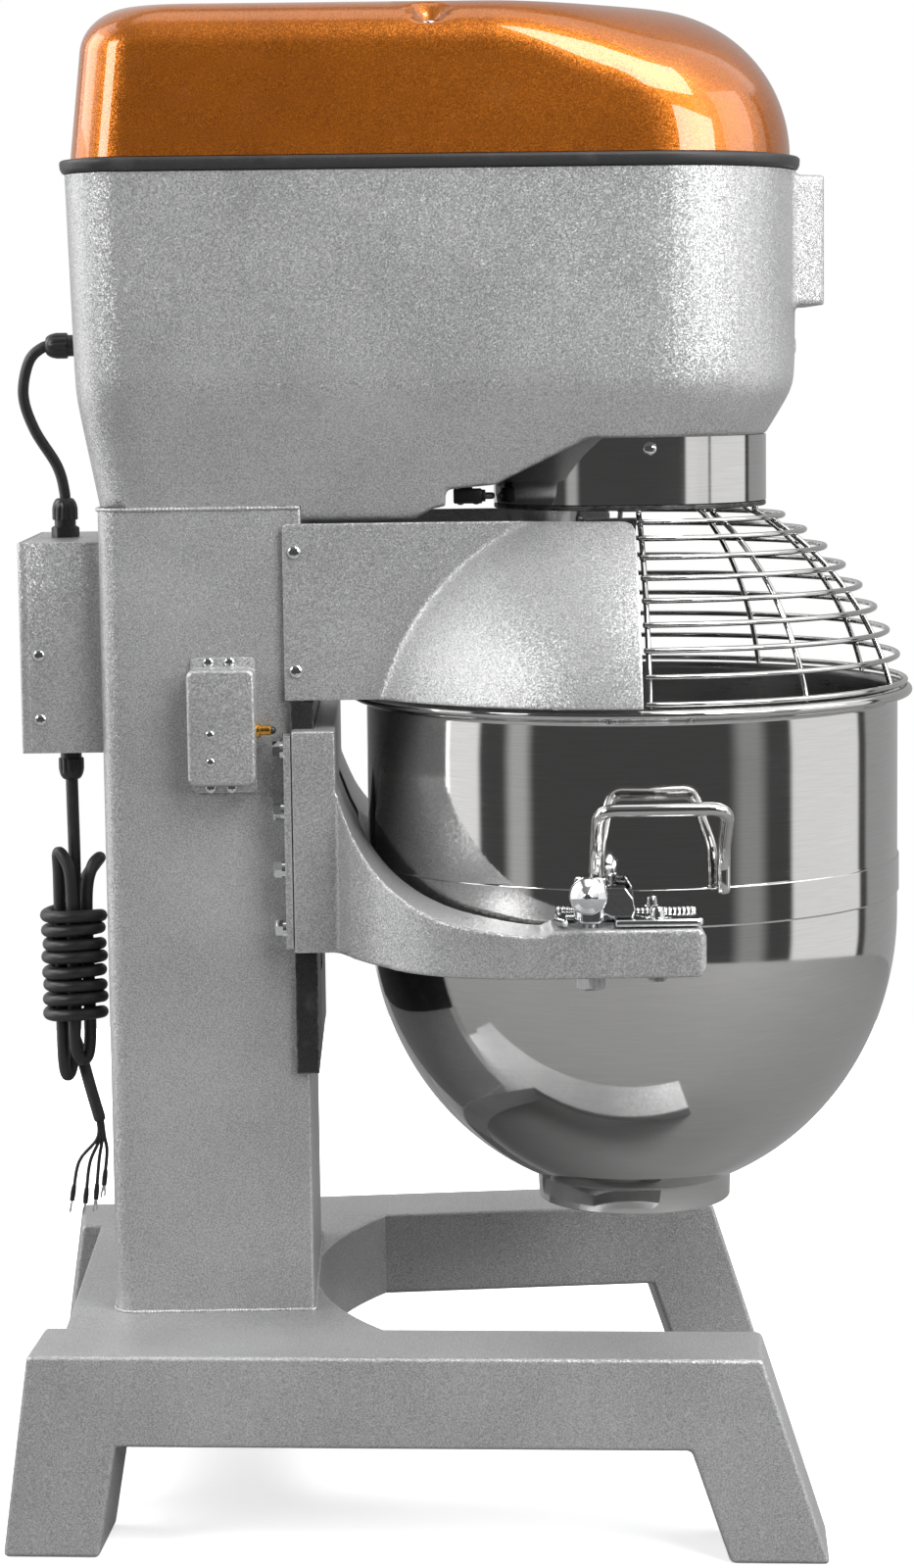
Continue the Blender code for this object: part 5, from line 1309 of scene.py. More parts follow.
def make_slide_parts():
    heights = (0.664, 0.612, 0.562, 0.511)
    for side, label in SIDES:
        spots = [(GIB_LOW.x, side * 0.1550, z) for z in heights]
        fasteners(
            f"{label}_gib_bolt", lambda: hex_mesh(0.0135, 0.0068, 0.0030), spots, (-1, 0, 0), "chrome",
            "bowl_lift"
        )


def make_clamps():
    for side, label in SIDES:
        y = side * CLAMP_Y
        low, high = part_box(f"{label}_clamp_post")
        post = lathe(
            f"{label}_post_bolt",
            [
                (0.0, high.z - low.z), (0.0050, high.z - low.z), (0.0062, high.z - low.z - 0.0012),
                (0.0062, 0.0012), (0.0052, 0.0), (0.0, 0.0),
            ],
            (CLAMP_X, y, low.z),
            steps=32,
        )
        nut = hex_mesh(0.022, 0.0095, 0.0018)
        place(nut, (CLAMP_X, y, ARM_BOTTOM - 0.0002), (0, 0, -1), 0.35 * side)
        finish(
            join(f"{label}_post_and_nut", [post, nut]), "steel", "bowl_lift", (f"{label}_clamp_post",),
            smooth=30.0
        )

        body_low = ARM_TOP + 0.0035
        tall = 0.5690 - body_low
        lever = lathe(
            f"{label}_clamp_handle",
            [(0.0, tall), (0.0100, tall), (
                0.0126, tall - 0.0012
            ), (0.0136, tall - 0.0036), (0.0136, 0.0010),
             (0.0126, 0.0), (0.0, 0.0)],
            (CLAMP_X, y, body_low),
            steps=64,
        )
        flat_low, flat_high = sorted((y + side * 0.0118, y + side * 0.020))
        cut(lever, block("flat", (CLAMP_X - 0.02, flat_low, 0.5), (CLAMP_X + 0.02, flat_high, 0.6)))
        out = Vector((-0.10, side, 0.045)).normalized()
        start = Vector((CLAMP_X, y, 0.556))
        knob = lathe(
            "knob",
            [
                (0.0, 0.0505), (0.0030, 0.0500), (0.0090, 0.0455), (0.0145, 0.0400), (0.0158, 0.0365),
                (
                    0.0156, 0.0330
                ), (0.0130, 0.0260), (0.0098, 0.0190), (0.0090, 0.0120), (0.0090, 0.0), (0.0, 0.0),
            ],
            start,
            out,
            48,
        )
        finger = prism(
            "finger",
            [
                (CLAMP_X + 0.008, 0.5600), (CLAMP_X + 0.008, 0.5400), (CLAMP_X + 0.016, ARM_TOP + 0.0082),
                (CLAMP_X + 0.034, ARM_TOP + 0.0082), (CLAMP_X + 0.0362, ARM_TOP + 0.0140),
                (CLAMP_X + 0.0345, 0.5510), (CLAMP_X + 0.0280, 0.5600),
            ],
            y - 0.009,
            y + 0.009,
            "Y",
        )
        unite(lever, knob, finger)
        cast(lever, 0.0008, 5)
        bore = rod("bore", 0.0067, 0.50, 0.564, (CLAMP_X, y, 0.0), steps=32)
        cut(lever, bore, solver="MANIFOLD")
        finish(lever, "chrome", f"{label}_clamp", (f"{label}_clamp_lever",), smooth=50.0)


# ---------------------------------------------------------------- switches and boxes


def make_limit_switch():
    low, high = SWITCH_LOW, SWITCH_HIGH
    case_low, case_high = 0.635, 0.734
    face_y = low.y
    case = prism(
        "switch_case",
        soft_rectangle(low.x, high.x, case_low, case_high, 0.0070),
        face_y,
        high.y,
        "Y",
    )
    bevel(case, 0.0036, 5, 60.0)
    flange = prism(
        "flange",
        soft_rectangle(low.x + 0.0025, high.x - 0.0005, low.z, high.z, 0.0050),
        high.y - 0.0030,
        high.y,
        "Y",
    )
    bevel(flange, 0.0008, 2, 60.0)
    lip = prism(
        "lip",
        soft_rectangle(low.x + 0.0008, high.x - 0.0008, case_low - 0.0006, case_high + 0.0006, 0.0070),
        high.y - 0.0075,
        high.y - 0.0028,
        "Y",
    )
    bevel(lip, 0.0010, 2, 60.0)
    hole = rod("hole", 0.0050, 0.0, 0.1, (high.x - 0.014, PLUNGER_Y, PLUNGER_Z), (1, 0, 0), 32)
    cut(case, hole)
    finish(
        join("switch_box", [case, flange, lip]), "silver_paint", "stand", ("limit_switch_box",),
        smooth=40.0
    )
    flange_spots = []
    for z in (high.z - 0.0044, low.z + 0.0044):
        for x in (low.x + 0.018, low.x + 0.036):
            flange_spots.append((x, high.y - 0.0031, z))
    fasteners(
        "switch_flange_screw", lambda: screw_mesh(0.0045), flange_spots, (0, -1, 0), "chrome", "stand"
    )
    face_spots = [(low.x + 0.0195, face_y + 0.0003, z) for z in (0.6790, 0.6555)]
    fasteners("switch_face_screw", lambda: screw_mesh(0.0037), face_spots, (0, -1, 0), "chrome", "stand")

    plunger_low, plunger_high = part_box("limit_plunger")
    start = Vector((plunger_low.x, PLUNGER_Y, PLUNGER_Z))
    barrel = lathe(
        "plunger_barrel",
        [(0.0, 0.0), (0.0043, 0.0), (0.0043, 0.0205), (0.0039, 0.0210), (0.0, 0.0210)],
        start,
        (1, 0, 0),
        40,
    )
    finish(barrel, "brass", "limit_plunger_body", ("limit_plunger",))
    reach = plunger_high.x - plunger_low.x
    tip = lathe(
        "plunger_tip",
        [
            (0.0, reach), (0.0014, reach - 0.0002), (0.0028, reach - 0.0012), (0.0034, reach - 0.0028),
            (0.0034, 0.0208), (0.0, 0.0208)
        ],
        start,
        (1, 0, 0),
        40,
    )
    finish(tip, "black_plastic", "limit_plunger_body")
    collar = lathe(
        "plunger_collar",
        [(0.0047, 0.0), (0.0062, 0.0), (0.0062, 0.0030), (0.0057, 0.0036), (0.0047, 0.0036)],
        (high.x - 0.0001, PLUNGER_Y, PLUNGER_Z),
        (1, 0, 0),
        40,
    )
    finish(collar, "brass", "stand")


def make_sensor():
    low, high = SENSOR_LOW, SENSOR_HIGH
    pin_low, pin_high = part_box("guard_switch_plunger")
    middle = (pin_low + pin_high) / 2
    case_top = 0.8787
    case = block("sensor_case", low, (high.x - 0.003, high.y, case_top))
    bevel(case, 0.0013, 3)
    snout = block(
        "snout", (high.x - 0.006, low.y + 0.004, low.z + 0.0015),
        (high.x, high.y - 0.004, case_top - 0.001)
    )
    bevel(snout, 0.0008, 2)
    hanger = block("hanger", (-0.002, low.y + 0.004, case_top - 0.002), (0.010, high.y - 0.004, high.z))
    hole = rod("hole", 0.0036, 0.0, 0.02, (high.x - 0.0095, middle.y, middle.z), (1, 0, 0), 24)
    unite(case, snout, hanger)
    cut(case, hole)
    finish(case, "black_plastic", "stand", ("guard_switch",))
    reach = pin_high.x - pin_low.x
    pin = lathe(
        "sensor_pin",
        [
            (0.0, reach), (0.0016, reach - 0.0003), (0.0027, reach - 0.0014), (0.0030, reach - 0.0030),
            (0.0030, 0.0), (0.0, 0.0)
        ],
        (pin_low.x, middle.y, middle.z),
        (1, 0, 0),
        32,
    )
    finish(pin, "steel", "guard_plunger_body", ("guard_switch_plunger",))
    spots = [(low.x + 0.006, low.y + 0.006, low.z), (high.x - 0.008, high.y - 0.006, low.z)]
    fasteners("sensor_screw", lambda: screw_mesh(0.0026), spots, (0, 0, -1), "steel", "stand")


def make_electrical_box():
    sheet = 0.002
    low, high = LID_LOW, LID_HIGH
    outer = rounded_outline(low.x, high.x + 0.05, high.y, 0.0030, 0.001, 5)
    inner = rounded_outline(low.x + sheet, high.x + 0.06, high.y - sheet, 0.0012, 0.001, 5)
    lid = prism("lid_channel", outer, low.z, high.z)
    cut(
        lid, prism("lid_room", inner, low.z - 0.01, high.z + 0.01),
        block("lid_front", (high.x, -0.2, 0.5), (0.0, 0.2, 1.0))
    )
    groove_x = low.x + 0.0085
    for side in (-1, 1):
        groove = block(
            "groove",
            (groove_x, min(side * (high.y - 0.0006), side * 0.2), low.z - 0.01),
            (groove_x + 0.0009, max(side * (high.y - 0.0006), side * 0.2), high.z + 0.01),
        )
        cut(lid, groove)
    bevel(lid, 0.0004, 2)
    finish(lid, "silver_paint", "stand", ("electrical_box_lid",), smooth=40.0)
    for side in (-1, 1):
        spots = [(low.x + 0.0165, side * (high.y - 0.0002), z) for z in (0.7435, 0.6880)]
        fasteners(
            f"box_screw_{'left' if side < 0 else 'right'}", lambda: screw_mesh(0.0050), spots,
            (0, side, 0), "chrome", "stand"
        )
    low, high = TRAY_LOW, TRAY_HIGH
    rim = 0.0008
    section = [
        (low.x, low.z + rim), (low.x + rim, low.z), (high.x, low.z), (high.x, high.z), (
            low.x + rim, high.z
        ),
        (low.x, high.z - rim), (low.x, high.z - sheet), (high.x - sheet, high.z - sheet),
        (high.x - sheet, low.z + sheet), (low.x, low.z + sheet),
    ]
    tray = prism("box_tray", section, low.y, high.y, "Y")
    holes = []
    for z in (low.z, high.z):
        holes.append(rod("hole", 0.0075, -0.01, 0.01, (GLAND_X, 0, z), steps=32))
    cut(tray, *holes)
    bevel(tray, 0.0004, 2)
    finish(tray, "silver_paint", "stand", ("electrical_box",), smooth=40.0)


def ribbed_row(radius, height, ribs, depth):
    row = []
    for k in range(ribs * 6):
        wave = 0.5 + 0.5 * math.cos(2 * math.pi * k / 6)
        reach = radius - depth * (1 - wave ** 0.5)
        turn = 2 * math.pi * k / (ribs * 6)
        row.append((reach * math.cos(turn), reach * math.sin(turn), height))
    return row


def make_gland(name, cad_node, point, direction, cable_radius):
    """A nylon cable gland: hexagon body, waist and ribbed dome nut over the cable."""
    bore = cable_radius + 0.0004
    foot = prism("foot", circle(0.0, 0.0, 0.0118 / math.cos(math.pi / 6) * 0.93, 6), 0.0, 0.0095)
    chamfer = lathe(
        "chamfer", [(0.0, 0.0095), (0.0104, 0.0095), (0.0124, 0.0080), (0.0124, 0.0), (0.0, 0.0)],
        steps=48
    )
    keep_inside(foot, chamfer)
    waist = rod("waist", 0.0094, 0.0090, 0.0165, steps=48)
    ribs, depth = 12, 0.0011
    rows = [
        ribbed_row(0.0106, 0.0150, ribs, 0.0),
        ribbed_row(0.0113, 0.0156, ribs, depth),
        ribbed_row(0.0113, 0.0245, ribs, depth),
        ribbed_row(0.0108, 0.0275, ribs, 0.6 * depth),
        ribbed_row(0.0098, 0.0305, ribs, 0.0),
        ribbed_row(0.0082, 0.0330, ribs, 0.0),
        ribbed_row(0.0068, 0.0340, ribs, 0.0),
    ]
    dome = surface("dome", rows, close_columns=True, caps=True)
    unite(foot, waist, dome)
    hole = rod("hole", bore, -0.01, 0.05, steps=40)
    cut(foot, hole)
    place(foot, point, direction)
    foot.name = name
    finish(foot, "black_plastic", "stand", (cad_node,), smooth=30.0)


def make_glands():
    make_gland(
        "gland_on_box_top", "box_top_gland", (GLAND_X, 0, TRAY_HIGH.z + 0.0003), (0, 0, 1), LINK_CABLE
    )
    make_gland(
        "gland_under_box", "box_bottom_gland", (GLAND_X, 0, TRAY_LOW.z - 0.0003), (0, 0, -1), MAINS_CORD
    )
    make_gland("gland_on_head", "head_gland", (-0.3290, 0, 1.008), (-1, 0, 0), LINK_CABLE)


def make_cables():
    link_path = smooth_path(
        [
            (-0.340, 0, 1.008), (-0.354, 0, 1.008), (-0.366, 0, 1.0065), (-0.3785, 0, 0.994),
            (-0.384, 0, 0.965), (-0.375, 0, 0.935), (-0.356, 0, 0.903), (-0.350, 0, 0.880),
            (-0.350, 0, 0.865), (-0.350, 0, 0.850),
        ],
        14,
    )
    finish(tube("head_cable", link_path, LINK_CABLE, 20), "rubber", "stand", ("link_cable",), smooth=60.0)

    x, strand, wrap, wraps = -0.3515, 0.0122, 0.0238, 8
    top, bottom = 0.508, 0.408
    path = [
        (-0.350, 0.0, 0.655), (-0.350, 0.0, 0.632), (-0.350, 0.003, 0.600), (x + 0.001, strand, 0.545),
        (x, strand, 0.450), (x - 0.004, strand, 0.375), (x - 0.009, 0.006, 0.355), (x - strand, 0.0, 0.375),
        (x - strand, 0.0, 0.450), (x - strand, 0.0, 0.535), (x - 0.0115, -0.4 * strand, 0.559),
        (x - 0.002, -strand, 0.545), (x, -strand, 0.515), (x, -strand, 0.450), (x, -strand, 0.385),
        (x + 0.008, -0.5 * strand, 0.372), (x + strand, 0.0, 0.390), (x + strand, 0.0, 0.450),
        (x + strand, 0.0, 0.520), (x + 0.0175, 0.004, 0.545), (x + 0.0235, 0.014, 0.5515),
        (x + 0.0150, 0.024, 0.540), (x + 0.003, 0.0245, 0.522),
    ]
    folds = smooth_path(path, 8)
    coil = []
    turns = wraps * 44
    for i in range(1, turns + 1):
        share = i / turns
        angle = math.pi / 2 + 2 * math.pi * wraps * share
        reach = wrap + 0.0007 * math.sin(5.1 * share * math.pi) + 0.0004 * math.sin(0.37 * angle)
        lean = 0.0038 * math.cos(angle + 0.5)
        height = top + (bottom - top) * share + lean + 0.0010 * math.sin(0.61 * angle)
        coil.append((x + reach * math.cos(angle), reach * math.sin(angle), height))
    tail_end = Vector((x + 0.018, 0.008, 0.315))
    tail = smooth_path(
        [
            coil[-1], (x - 0.006, wrap, 0.395), (x + 0.002, wrap - 0.003, 0.370),
            (x + 0.010, 0.014, 0.342), tail_end
        ], 8
    )
    cord = tube("mains_cord", [*folds[:-1], *coil[:-1], *tail], MAINS_CORD, 16)
    finish(cord, "rubber", "stand", ("power_cord",), smooth=60.0)

    ends = (
        (-0.0245, -0.006, 0.2490), (-0.0135, 0.000, 0.2450), (-0.0045, 0.006, 0.2470),
        (0.0030, 0.010, 0.2590)
    )
    for k, (along, across, z) in enumerate(ends):
        spread = Vector(((k - 1.5) * 0.0020, (k - 1.5) * 0.0010, 0.0))
        start = tail_end + Vector((0.0, 0.0, 0.004)) + spread * 0.6
        end = tail_end + Vector((along, across - 0.004, z - tail_end.z))
        wire = smooth_path(
            [
                start, tail_end + spread + Vector((0.001, 0.0, -0.018)), start.lerp(end, 0.60) + spread,
                end
            ], 8
        )
        finish(tube(f"bare_wire_{k + 1}", wire, 0.0016, 10), "rubber", "stand", smooth=60.0)
        make_terminal(f"spade_terminal_{k + 1}", end, (end - wire[-4]).normalized())


def make_terminal(name, point, direction):
    """A fork terminal: sleeve and barrel on the wire, then a flat fork."""
    sleeve = lathe(
        "sleeve", [(0.0, 0.008), (0.0022, 0.008), (0.0025, 0.0), (0.0020, -0.006), (0.0, -0.006)],
        steps=20
    )
    outline = [
        (
            -0.0016, 0.006
        ), (0.0016, 0.006), (0.0030, 0.0115), (0.0040, 0.0150), (0.0036, 0.0190), (0.0022, 0.0186),
        (0.0023, 0.0155), (0.0014, 0.0130), (-0.0014, 0.0130), (-0.0023, 0.0155), (-0.0022, 0.0186),
        (-0.0036, 0.0190), (-0.0040, 0.0150), (-0.0030, 0.0115),
    ]
    fork = prism("fork", outline, -0.0004, 0.0004, "Y")
    for part in (sleeve, fork):
        place(part, point, direction, 0.4)
    sleeve.name = f"{name}_sleeve"
    fork.name = f"{name}_fork"
    finish(sleeve, "black_plastic", "stand", smooth=40.0)
    finish(fork, "chrome", "stand")


# ---------------------------------------------------------------- controls on the far side


def make_controls():
    low, high = CONTROL_LOW, CONTROL_HIGH
    case = prism("control_case", soft_rectangle(low.x, high.x, low.z, high.z, 0.006), low.y, high.y, "Y")
    bevel(case, 0.0030, 4, 60.0)
    button_x = (low.x + high.x) / 2
    start_low, start_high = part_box("start_button")
    stop_low, stop_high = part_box("stop_button")
    levels = ((start_low.z + start_high.z) / 2, (stop_low.z + stop_high.z) / 2)
    holes = []
    for z in levels:
        holes.append(rod("hole", 0.0125, 0.0, 0.05, (button_x, high.y - 0.016, z), (0, 1, 0), 48))
    cut(case, *holes)
    finish(case, "silver_paint", "stand", ("control_box",), smooth=40.0)
    for label, z, colour in (("start", levels[0], "green_plastic"), ("stop", levels[1], "red_plastic")):
        bezel = lathe(
            f"{label}_bezel",
            [(0.0127, 0.0), (0.0158, 0.0), (0.0158, 0.0012), (0.0148, 0.0024), (0.0127, 0.0026)],
            (button_x, high.y - 0.0001, z),
            (0, 1, 0),
            64,
        )
        finish(bezel, "chrome", "stand")
        cap = lathe(
            f"{label}_cap",
            [
                (0.0, 0.0146), (0.0060, 0.0148), (0.0095, 0.0156), (0.0108, 0.0158), (0.0116, 0.0150),
                (0.0118, 0.0138), (0.0118, 0.0), (0.0, 0.0)
            ],
            (button_x, high.y - 0.008, z),
            (0, 1, 0),
            64,
        )
        finish(cap, colour, f"{label}_push", (f"{label}_button",), smooth=40.0)
    spots = []
    for x in (low.x + 0.010, high.x - 0.010):
        for z in (low.z + 0.010, high.z - 0.010):
            spots.append((x, high.y - 0.0002, z))
    fasteners("control_screw", lambda: screw_mesh(0.0036), spots, (0, 1, 0), "chrome", "stand")

    x, z = 0.010, 1.030
    y = HEAD_HALF + 0.004
    hub = lathe(
        "shift_hub",
        [
            (0.0, 0.0180), (0.0120, 0.0180), (0.0150, 0.0160), (0.0160, 0.0130), (0.0160, 0.0010),
            (0.0150, 0.0), (0.0, 0.0)
        ],
        (x, y, z),
        (0, 1, 0),
        64,
    )
    start, end = Vector((x, y + 0.010, z + 0.005)), Vector((x, y + 0.026, z + 0.085))
    stem = tube(
        "stem", [start.lerp(end, t) for t in spaced(0.0, 1.0, 12)],
        lambda share: 0.0072 - 0.0022 * share, 24
    )
    unite(hub, stem)
    cast(hub, 0.0009, 4)
    finish(hub, "chrome", "gear_lever", ("gear_shift_lever",), smooth=50.0)
    profile = [
        (0.0150 * math.sin(math.radians(a)), 0.0150 * math.cos(math.radians(a)))
        for a in range(0, 166, 8)
    ]
    profile[0] = (0.0, 0.0150)
    profile += [(0.0050, -0.0150), (0.0, -0.0150)]
    knob = lathe("shift_knob", profile, (x, HEAD_HALF + 0.032, z + 0.094), (0.0, 0.19, 0.98), 56)
    finish(knob, "black_plastic", "gear_lever", smooth=40.0)


def make_handwheel():
    y = 0.215
    radius, minor = 0.084, 0.0085
    rim_path = [
        (SCREW_X + radius * math.cos(a), y, WHEEL_Z + radius * math.sin(a))
        for a in [2 * math.pi * k / 120 for k in range(120)]
    ]
    wheel = tube("handwheel_casting", rim_path, minor, 20, closed=True)
    hub = lathe(
        "hub",
        [
            (0.0, 0.011), (0.0150, 0.011), (0.0180, 0.0085), (0.0190, 0.0040), (0.0190, -0.0220),
            (0.0175, -0.0240), (0.0, -0.0240)
        ],
        (SCREW_X, y, WHEEL_Z),
        (0, 1, 0),
        64,
    )
    spokes = []
    for i in range(3):
        angle = math.radians(90 + 120 * i)
        reach = Vector((math.cos(angle), 0.0, math.sin(angle)))
        centre = Vector((SCREW_X, y, WHEEL_Z))
        path = [
            centre + reach * (0.010 + (radius - 0.010) * t) + Vector((0, -0.005 * (1 - t) ** 2, 0))
            for t in spaced(0.0, 1.0, 16)
        ]
        spokes.append(tube(f"spoke_{i}", path, lambda share: 0.0078 - 0.0020 * share, 20))
    boss = lathe(
        "boss", [(0.0, 0.0112), (0.0085, 0.0112), (0.0105, 0.0085), (0.0105, 0.0), (0.0, 0.0)],
        (SCREW_X + radius, y, WHEEL_Z), (0, 1, 0), 40
    )
    unite(wheel, hub, *spokes, boss)
    cast(wheel, 0.0013, 5)
    bore = rod("bore", 0.0095, 0.0, 0.0545, (SCREW_X, y - 0.05, WHEEL_Z), (0, 1, 0), 40)
    cut(wheel, bore, solver="MANIFOLD")
    finish(wheel, "black_steel", "handwheel_spindle", ("handwheel",), smooth=50.0)
    spindle = lathe(
        "grip_spindle",
        [(0.0, 0.0620), (0.0034, 0.0620), (0.0040, 0.0612), (0.0040, 0.0), (0.0, 0.0)],
        (SCREW_X + radius, y, WHEEL_Z),
        (0, 1, 0),
        32,
    )
    finish(spindle, "steel", "handwheel_spindle")
    grip = lathe(
        "turning_grip",
        [
            (0.0, 0.0720), (
                0.0050, 0.0718
            ), (0.0085, 0.0705), (0.0112, 0.0670), (0.0124, 0.0610), (0.0122, 0.0550),
            (
                0.0112, 0.0460
            ), (0.0102, 0.0370), (0.0092, 0.0260), (0.0083, 0.0180), (0.0080, 0.0135), (0.0074, 0.0120),
            (0.0046, 0.0120), (0.0046, 0.0640), (0.0, 0.0640),
        ],
        (SCREW_X + radius, y, WHEEL_Z),
        (0, 1, 0),
        64,
    )
    finish(grip, "black_plastic", "handwheel_grip_body", ("handwheel_grip",), smooth=50.0)
    nut = hex_mesh(0.013, 0.0060)
    place(nut, (SCREW_X, y + 0.0110, WHEEL_Z), (0, 1, 0))
    nut.name = "wheel_nut"
    finish(nut, "steel", "handwheel_spindle", smooth=30.0)


# ---------------------------------------------------------------- planetary and hook


def make_planetary():
    carrier = lathe(
        "planet_head",
        [
            (0.0, 0.878), (0.0206, 0.878), (0.0206, 0.932), (0.036, 0.932), (0.036, 0.886), (0.1090, 0.886),
            (0.1105, 0.8845), (0.1105, 0.8665), (0.1085, 0.8640), (0.030, 0.858), (0.0, 0.858),
        ],
        (BOWL_X, 0, 0),
        steps=128,
    )
    nose = lathe(
        "nose",
        [
            (0.0, 0.870), (0.0360, 0.870), (0.0315, 0.858), (0.0300, 0.850), (0.0300, 0.8280),
            (0.0285, 0.8262), (0.0, 0.8262)
        ],
        (AGITATOR_X, 0, 0),
        steps=96,
    )
    bore = rod("bore", 0.0132, 0.80, 0.90, (AGITATOR_X, 0, 0), steps=64)
    unite(carrier, nose)
    cut(carrier, bore)
    finish(carrier, "steel", "planetary", ("planet_carrier",), smooth=30.0)

    hub_profile = [
        (0.0, 0.768), (0.0129, 0.768), (0.0129, 0.800), (0.0190, 0.800), (0.0208, 0.7985), (0.0210, 0.7960),
        (0.0210, 0.7560), (0.0180, 0.7450), (0.0, 0.7420),
    ]
    hub = lathe("hook_casting", hub_profile, (AGITATOR_X, 0, 0), steps=72)
    path = [(AGITATOR_X, 0.0, 0.755), (AGITATOR_X, 0.0, 0.735)]
    steps = 96
    for i in range(1, steps + 1):
        t = i / steps
        reach = 0.092 * math.sin(math.pi * (0.90 * t)) ** 0.8
        turn = math.radians(200.0 + 300.0 * t)
        path.append((AGITATOR_X + reach * math.cos(turn), reach * math.sin(turn), 0.735 - 0.420 * t))
    bar = tube("bar", path, lambda share: 0.0125 - 0.0030 * max(0.0, share - 0.6) / 0.4, 28)
    unite(hub, bar)
    cast(hub, 0.0016, 5)
    socket = rod("socket", 0.0129, 0.768, 0.83, (AGITATOR_X, 0, 0), steps=48)
    cut(hub, socket, solver="MANIFOLD")
    finish(hub, "stainless", "agitator", ("dough_hook",), smooth=50.0)


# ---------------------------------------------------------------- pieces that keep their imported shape


def finish_packed_nodes():
    """Every node still shown gets its procedural finish; those given an edge width also get softened edges.
    """
    kept = {
        "slide_way": ("black_steel", 0.0012),
        "left_gib_plate": ("silver_paint", 0.0007),
        "right_gib_plate": ("silver_paint", 0.0007),
        "lift_nut": ("bronze", 0.0008),
        "lift_screw": ("steel", 0.0),
        "screw_support": ("steel", 0.0008),
        "handwheel_shaft": ("steel", 0.0),
        "motor_housing": ("cast_iron", 0.0015),
        "motor_rotor": ("steel", 0.0005),
        "motor_pulley": ("cast_iron", 0.0010),
        "drive_belt": ("rubber", 0.0008),
        "countershaft": ("steel", 0.0),
        "driven_pulley": ("cast_iron", 0.0010),
        "main_shaft": ("steel", 0.0008),
        "main_gear": ("steel", 0.0),
        "ring_gear": ("steel", 0.0),
        "planet_pinion": ("steel", 0.0),
        "agitator_shaft": ("stainless", 0.0006),
        "gearbox_plate": ("steel", 0.0008),
        "main_bearing": ("steel", 0.0004),
    }
    for name, (material, edge) in kept.items():
        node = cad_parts[name]
        for slot in node.material_slots:
            slot.material = FINISHES[material]
        if edge:
            soft = node.modifiers.new("Edges", "BEVEL")
            soft.width = edge
            soft.segments = 2
            soft.limit_method = "ANGLE"
            soft.angle_limit = math.radians(50.0)


# ---------------------------------------------------------------- studio


def softbox(tree, azimuth, elevation, turn_low, turn_high, rise_low, rise_high, soft, strength):
    """Brightness of one light panel in the surroundings, between two azimuths and two elevations."""
    edges = (
        remap(tree, azimuth, turn_low - soft, turn_low + soft, 0.0, 1.0, True),
        remap(tree, azimuth, turn_high - soft, turn_high + soft, 1.0, 0.0, True),
        remap(tree, elevation, rise_low - soft, rise_low + soft, 0.0, 1.0, True),
        remap(tree, elevation, rise_high - soft, rise_high + soft, 1.0, 0.0, True),
    )
    total = maths(tree, "MULTIPLY", edges[0], edges[1])
    total = maths(tree, "MULTIPLY", total, edges[2])
    total = maths(tree, "MULTIPLY", total, edges[3])
    return maths(tree, "MULTIPLY", total, strength)


def make_surroundings():
    """A dim studio with light panels beside and behind the machine; the camera sees a pale backdrop."""
    world = bpy.data.worlds.new("studio")
    bpy.context.scene.world = world
    world.use_nodes = True
    tree = world.node_tree
    background = tree.nodes["Background"]
    direction = add(tree, "ShaderNodeTexCoord").outputs["Generated"]
    parts = add(tree, "ShaderNodeSeparateXYZ", Vector=direction)
    towards = maths(tree, "MULTIPLY", parts.outputs[1], -1.0)
    azimuth = maths(tree, "MULTIPLY", maths(tree, "ARCTAN2", parts.outputs[0], towards), 180 / math.pi)
    elevation = maths(tree, "MULTIPLY", maths(tree, "ARCSINE", parts.outputs[2]), 180 / math.pi)
    total = maths(tree, "ADD", 0.08, remap(tree, elevation, 12.0, 60.0, 0.0, 0.20))
    panels = (
        (68.0, 110.0, -30.0, 26.0, 1.6, 1.00),
        (44.0, 66.0, -3.6, 26.0, 1.6, 0.95),
        (52.0, 128.0, 26.0, 74.0, 2.0, 1.20),
        (-88.0, -72.0, -30.0, 58.0, 1.6, 1.08),
        (-128.0, -88.0, -30.0, 58.0, 1.0, 1.90),
        (41.0, 54.0, -30.0, -3.6, 4.0, 0.30),
        (-58.0, -48.0, -30.0, 30.0, 3.0, 0.50),
        (116.0, 200.0, -30.0, 60.0, 2.0, 0.36),
        (-200.0, -134.0, -30.0, 60.0, 2.0, 0.55),
        (-220.0, 220.0, 74.0, 100.0, 5.0, 1.40),
    )
    for panel in panels:
        total = maths(tree, "ADD", total, softbox(tree, azimuth, elevation, *panel))
    seen = add(tree, "ShaderNodeLightPath").outputs["Is Camera Ray"]
    strength = add(tree, "ShaderNodeMix", {"data_type": "FLOAT"}, i0=seen, i2=total, i3=1.0).outputs[0]
    background.inputs["Color"].default_value = opaque((1.0, 1.0, 1.0))
    tree.links.new(strength, background.inputs["Strength"])


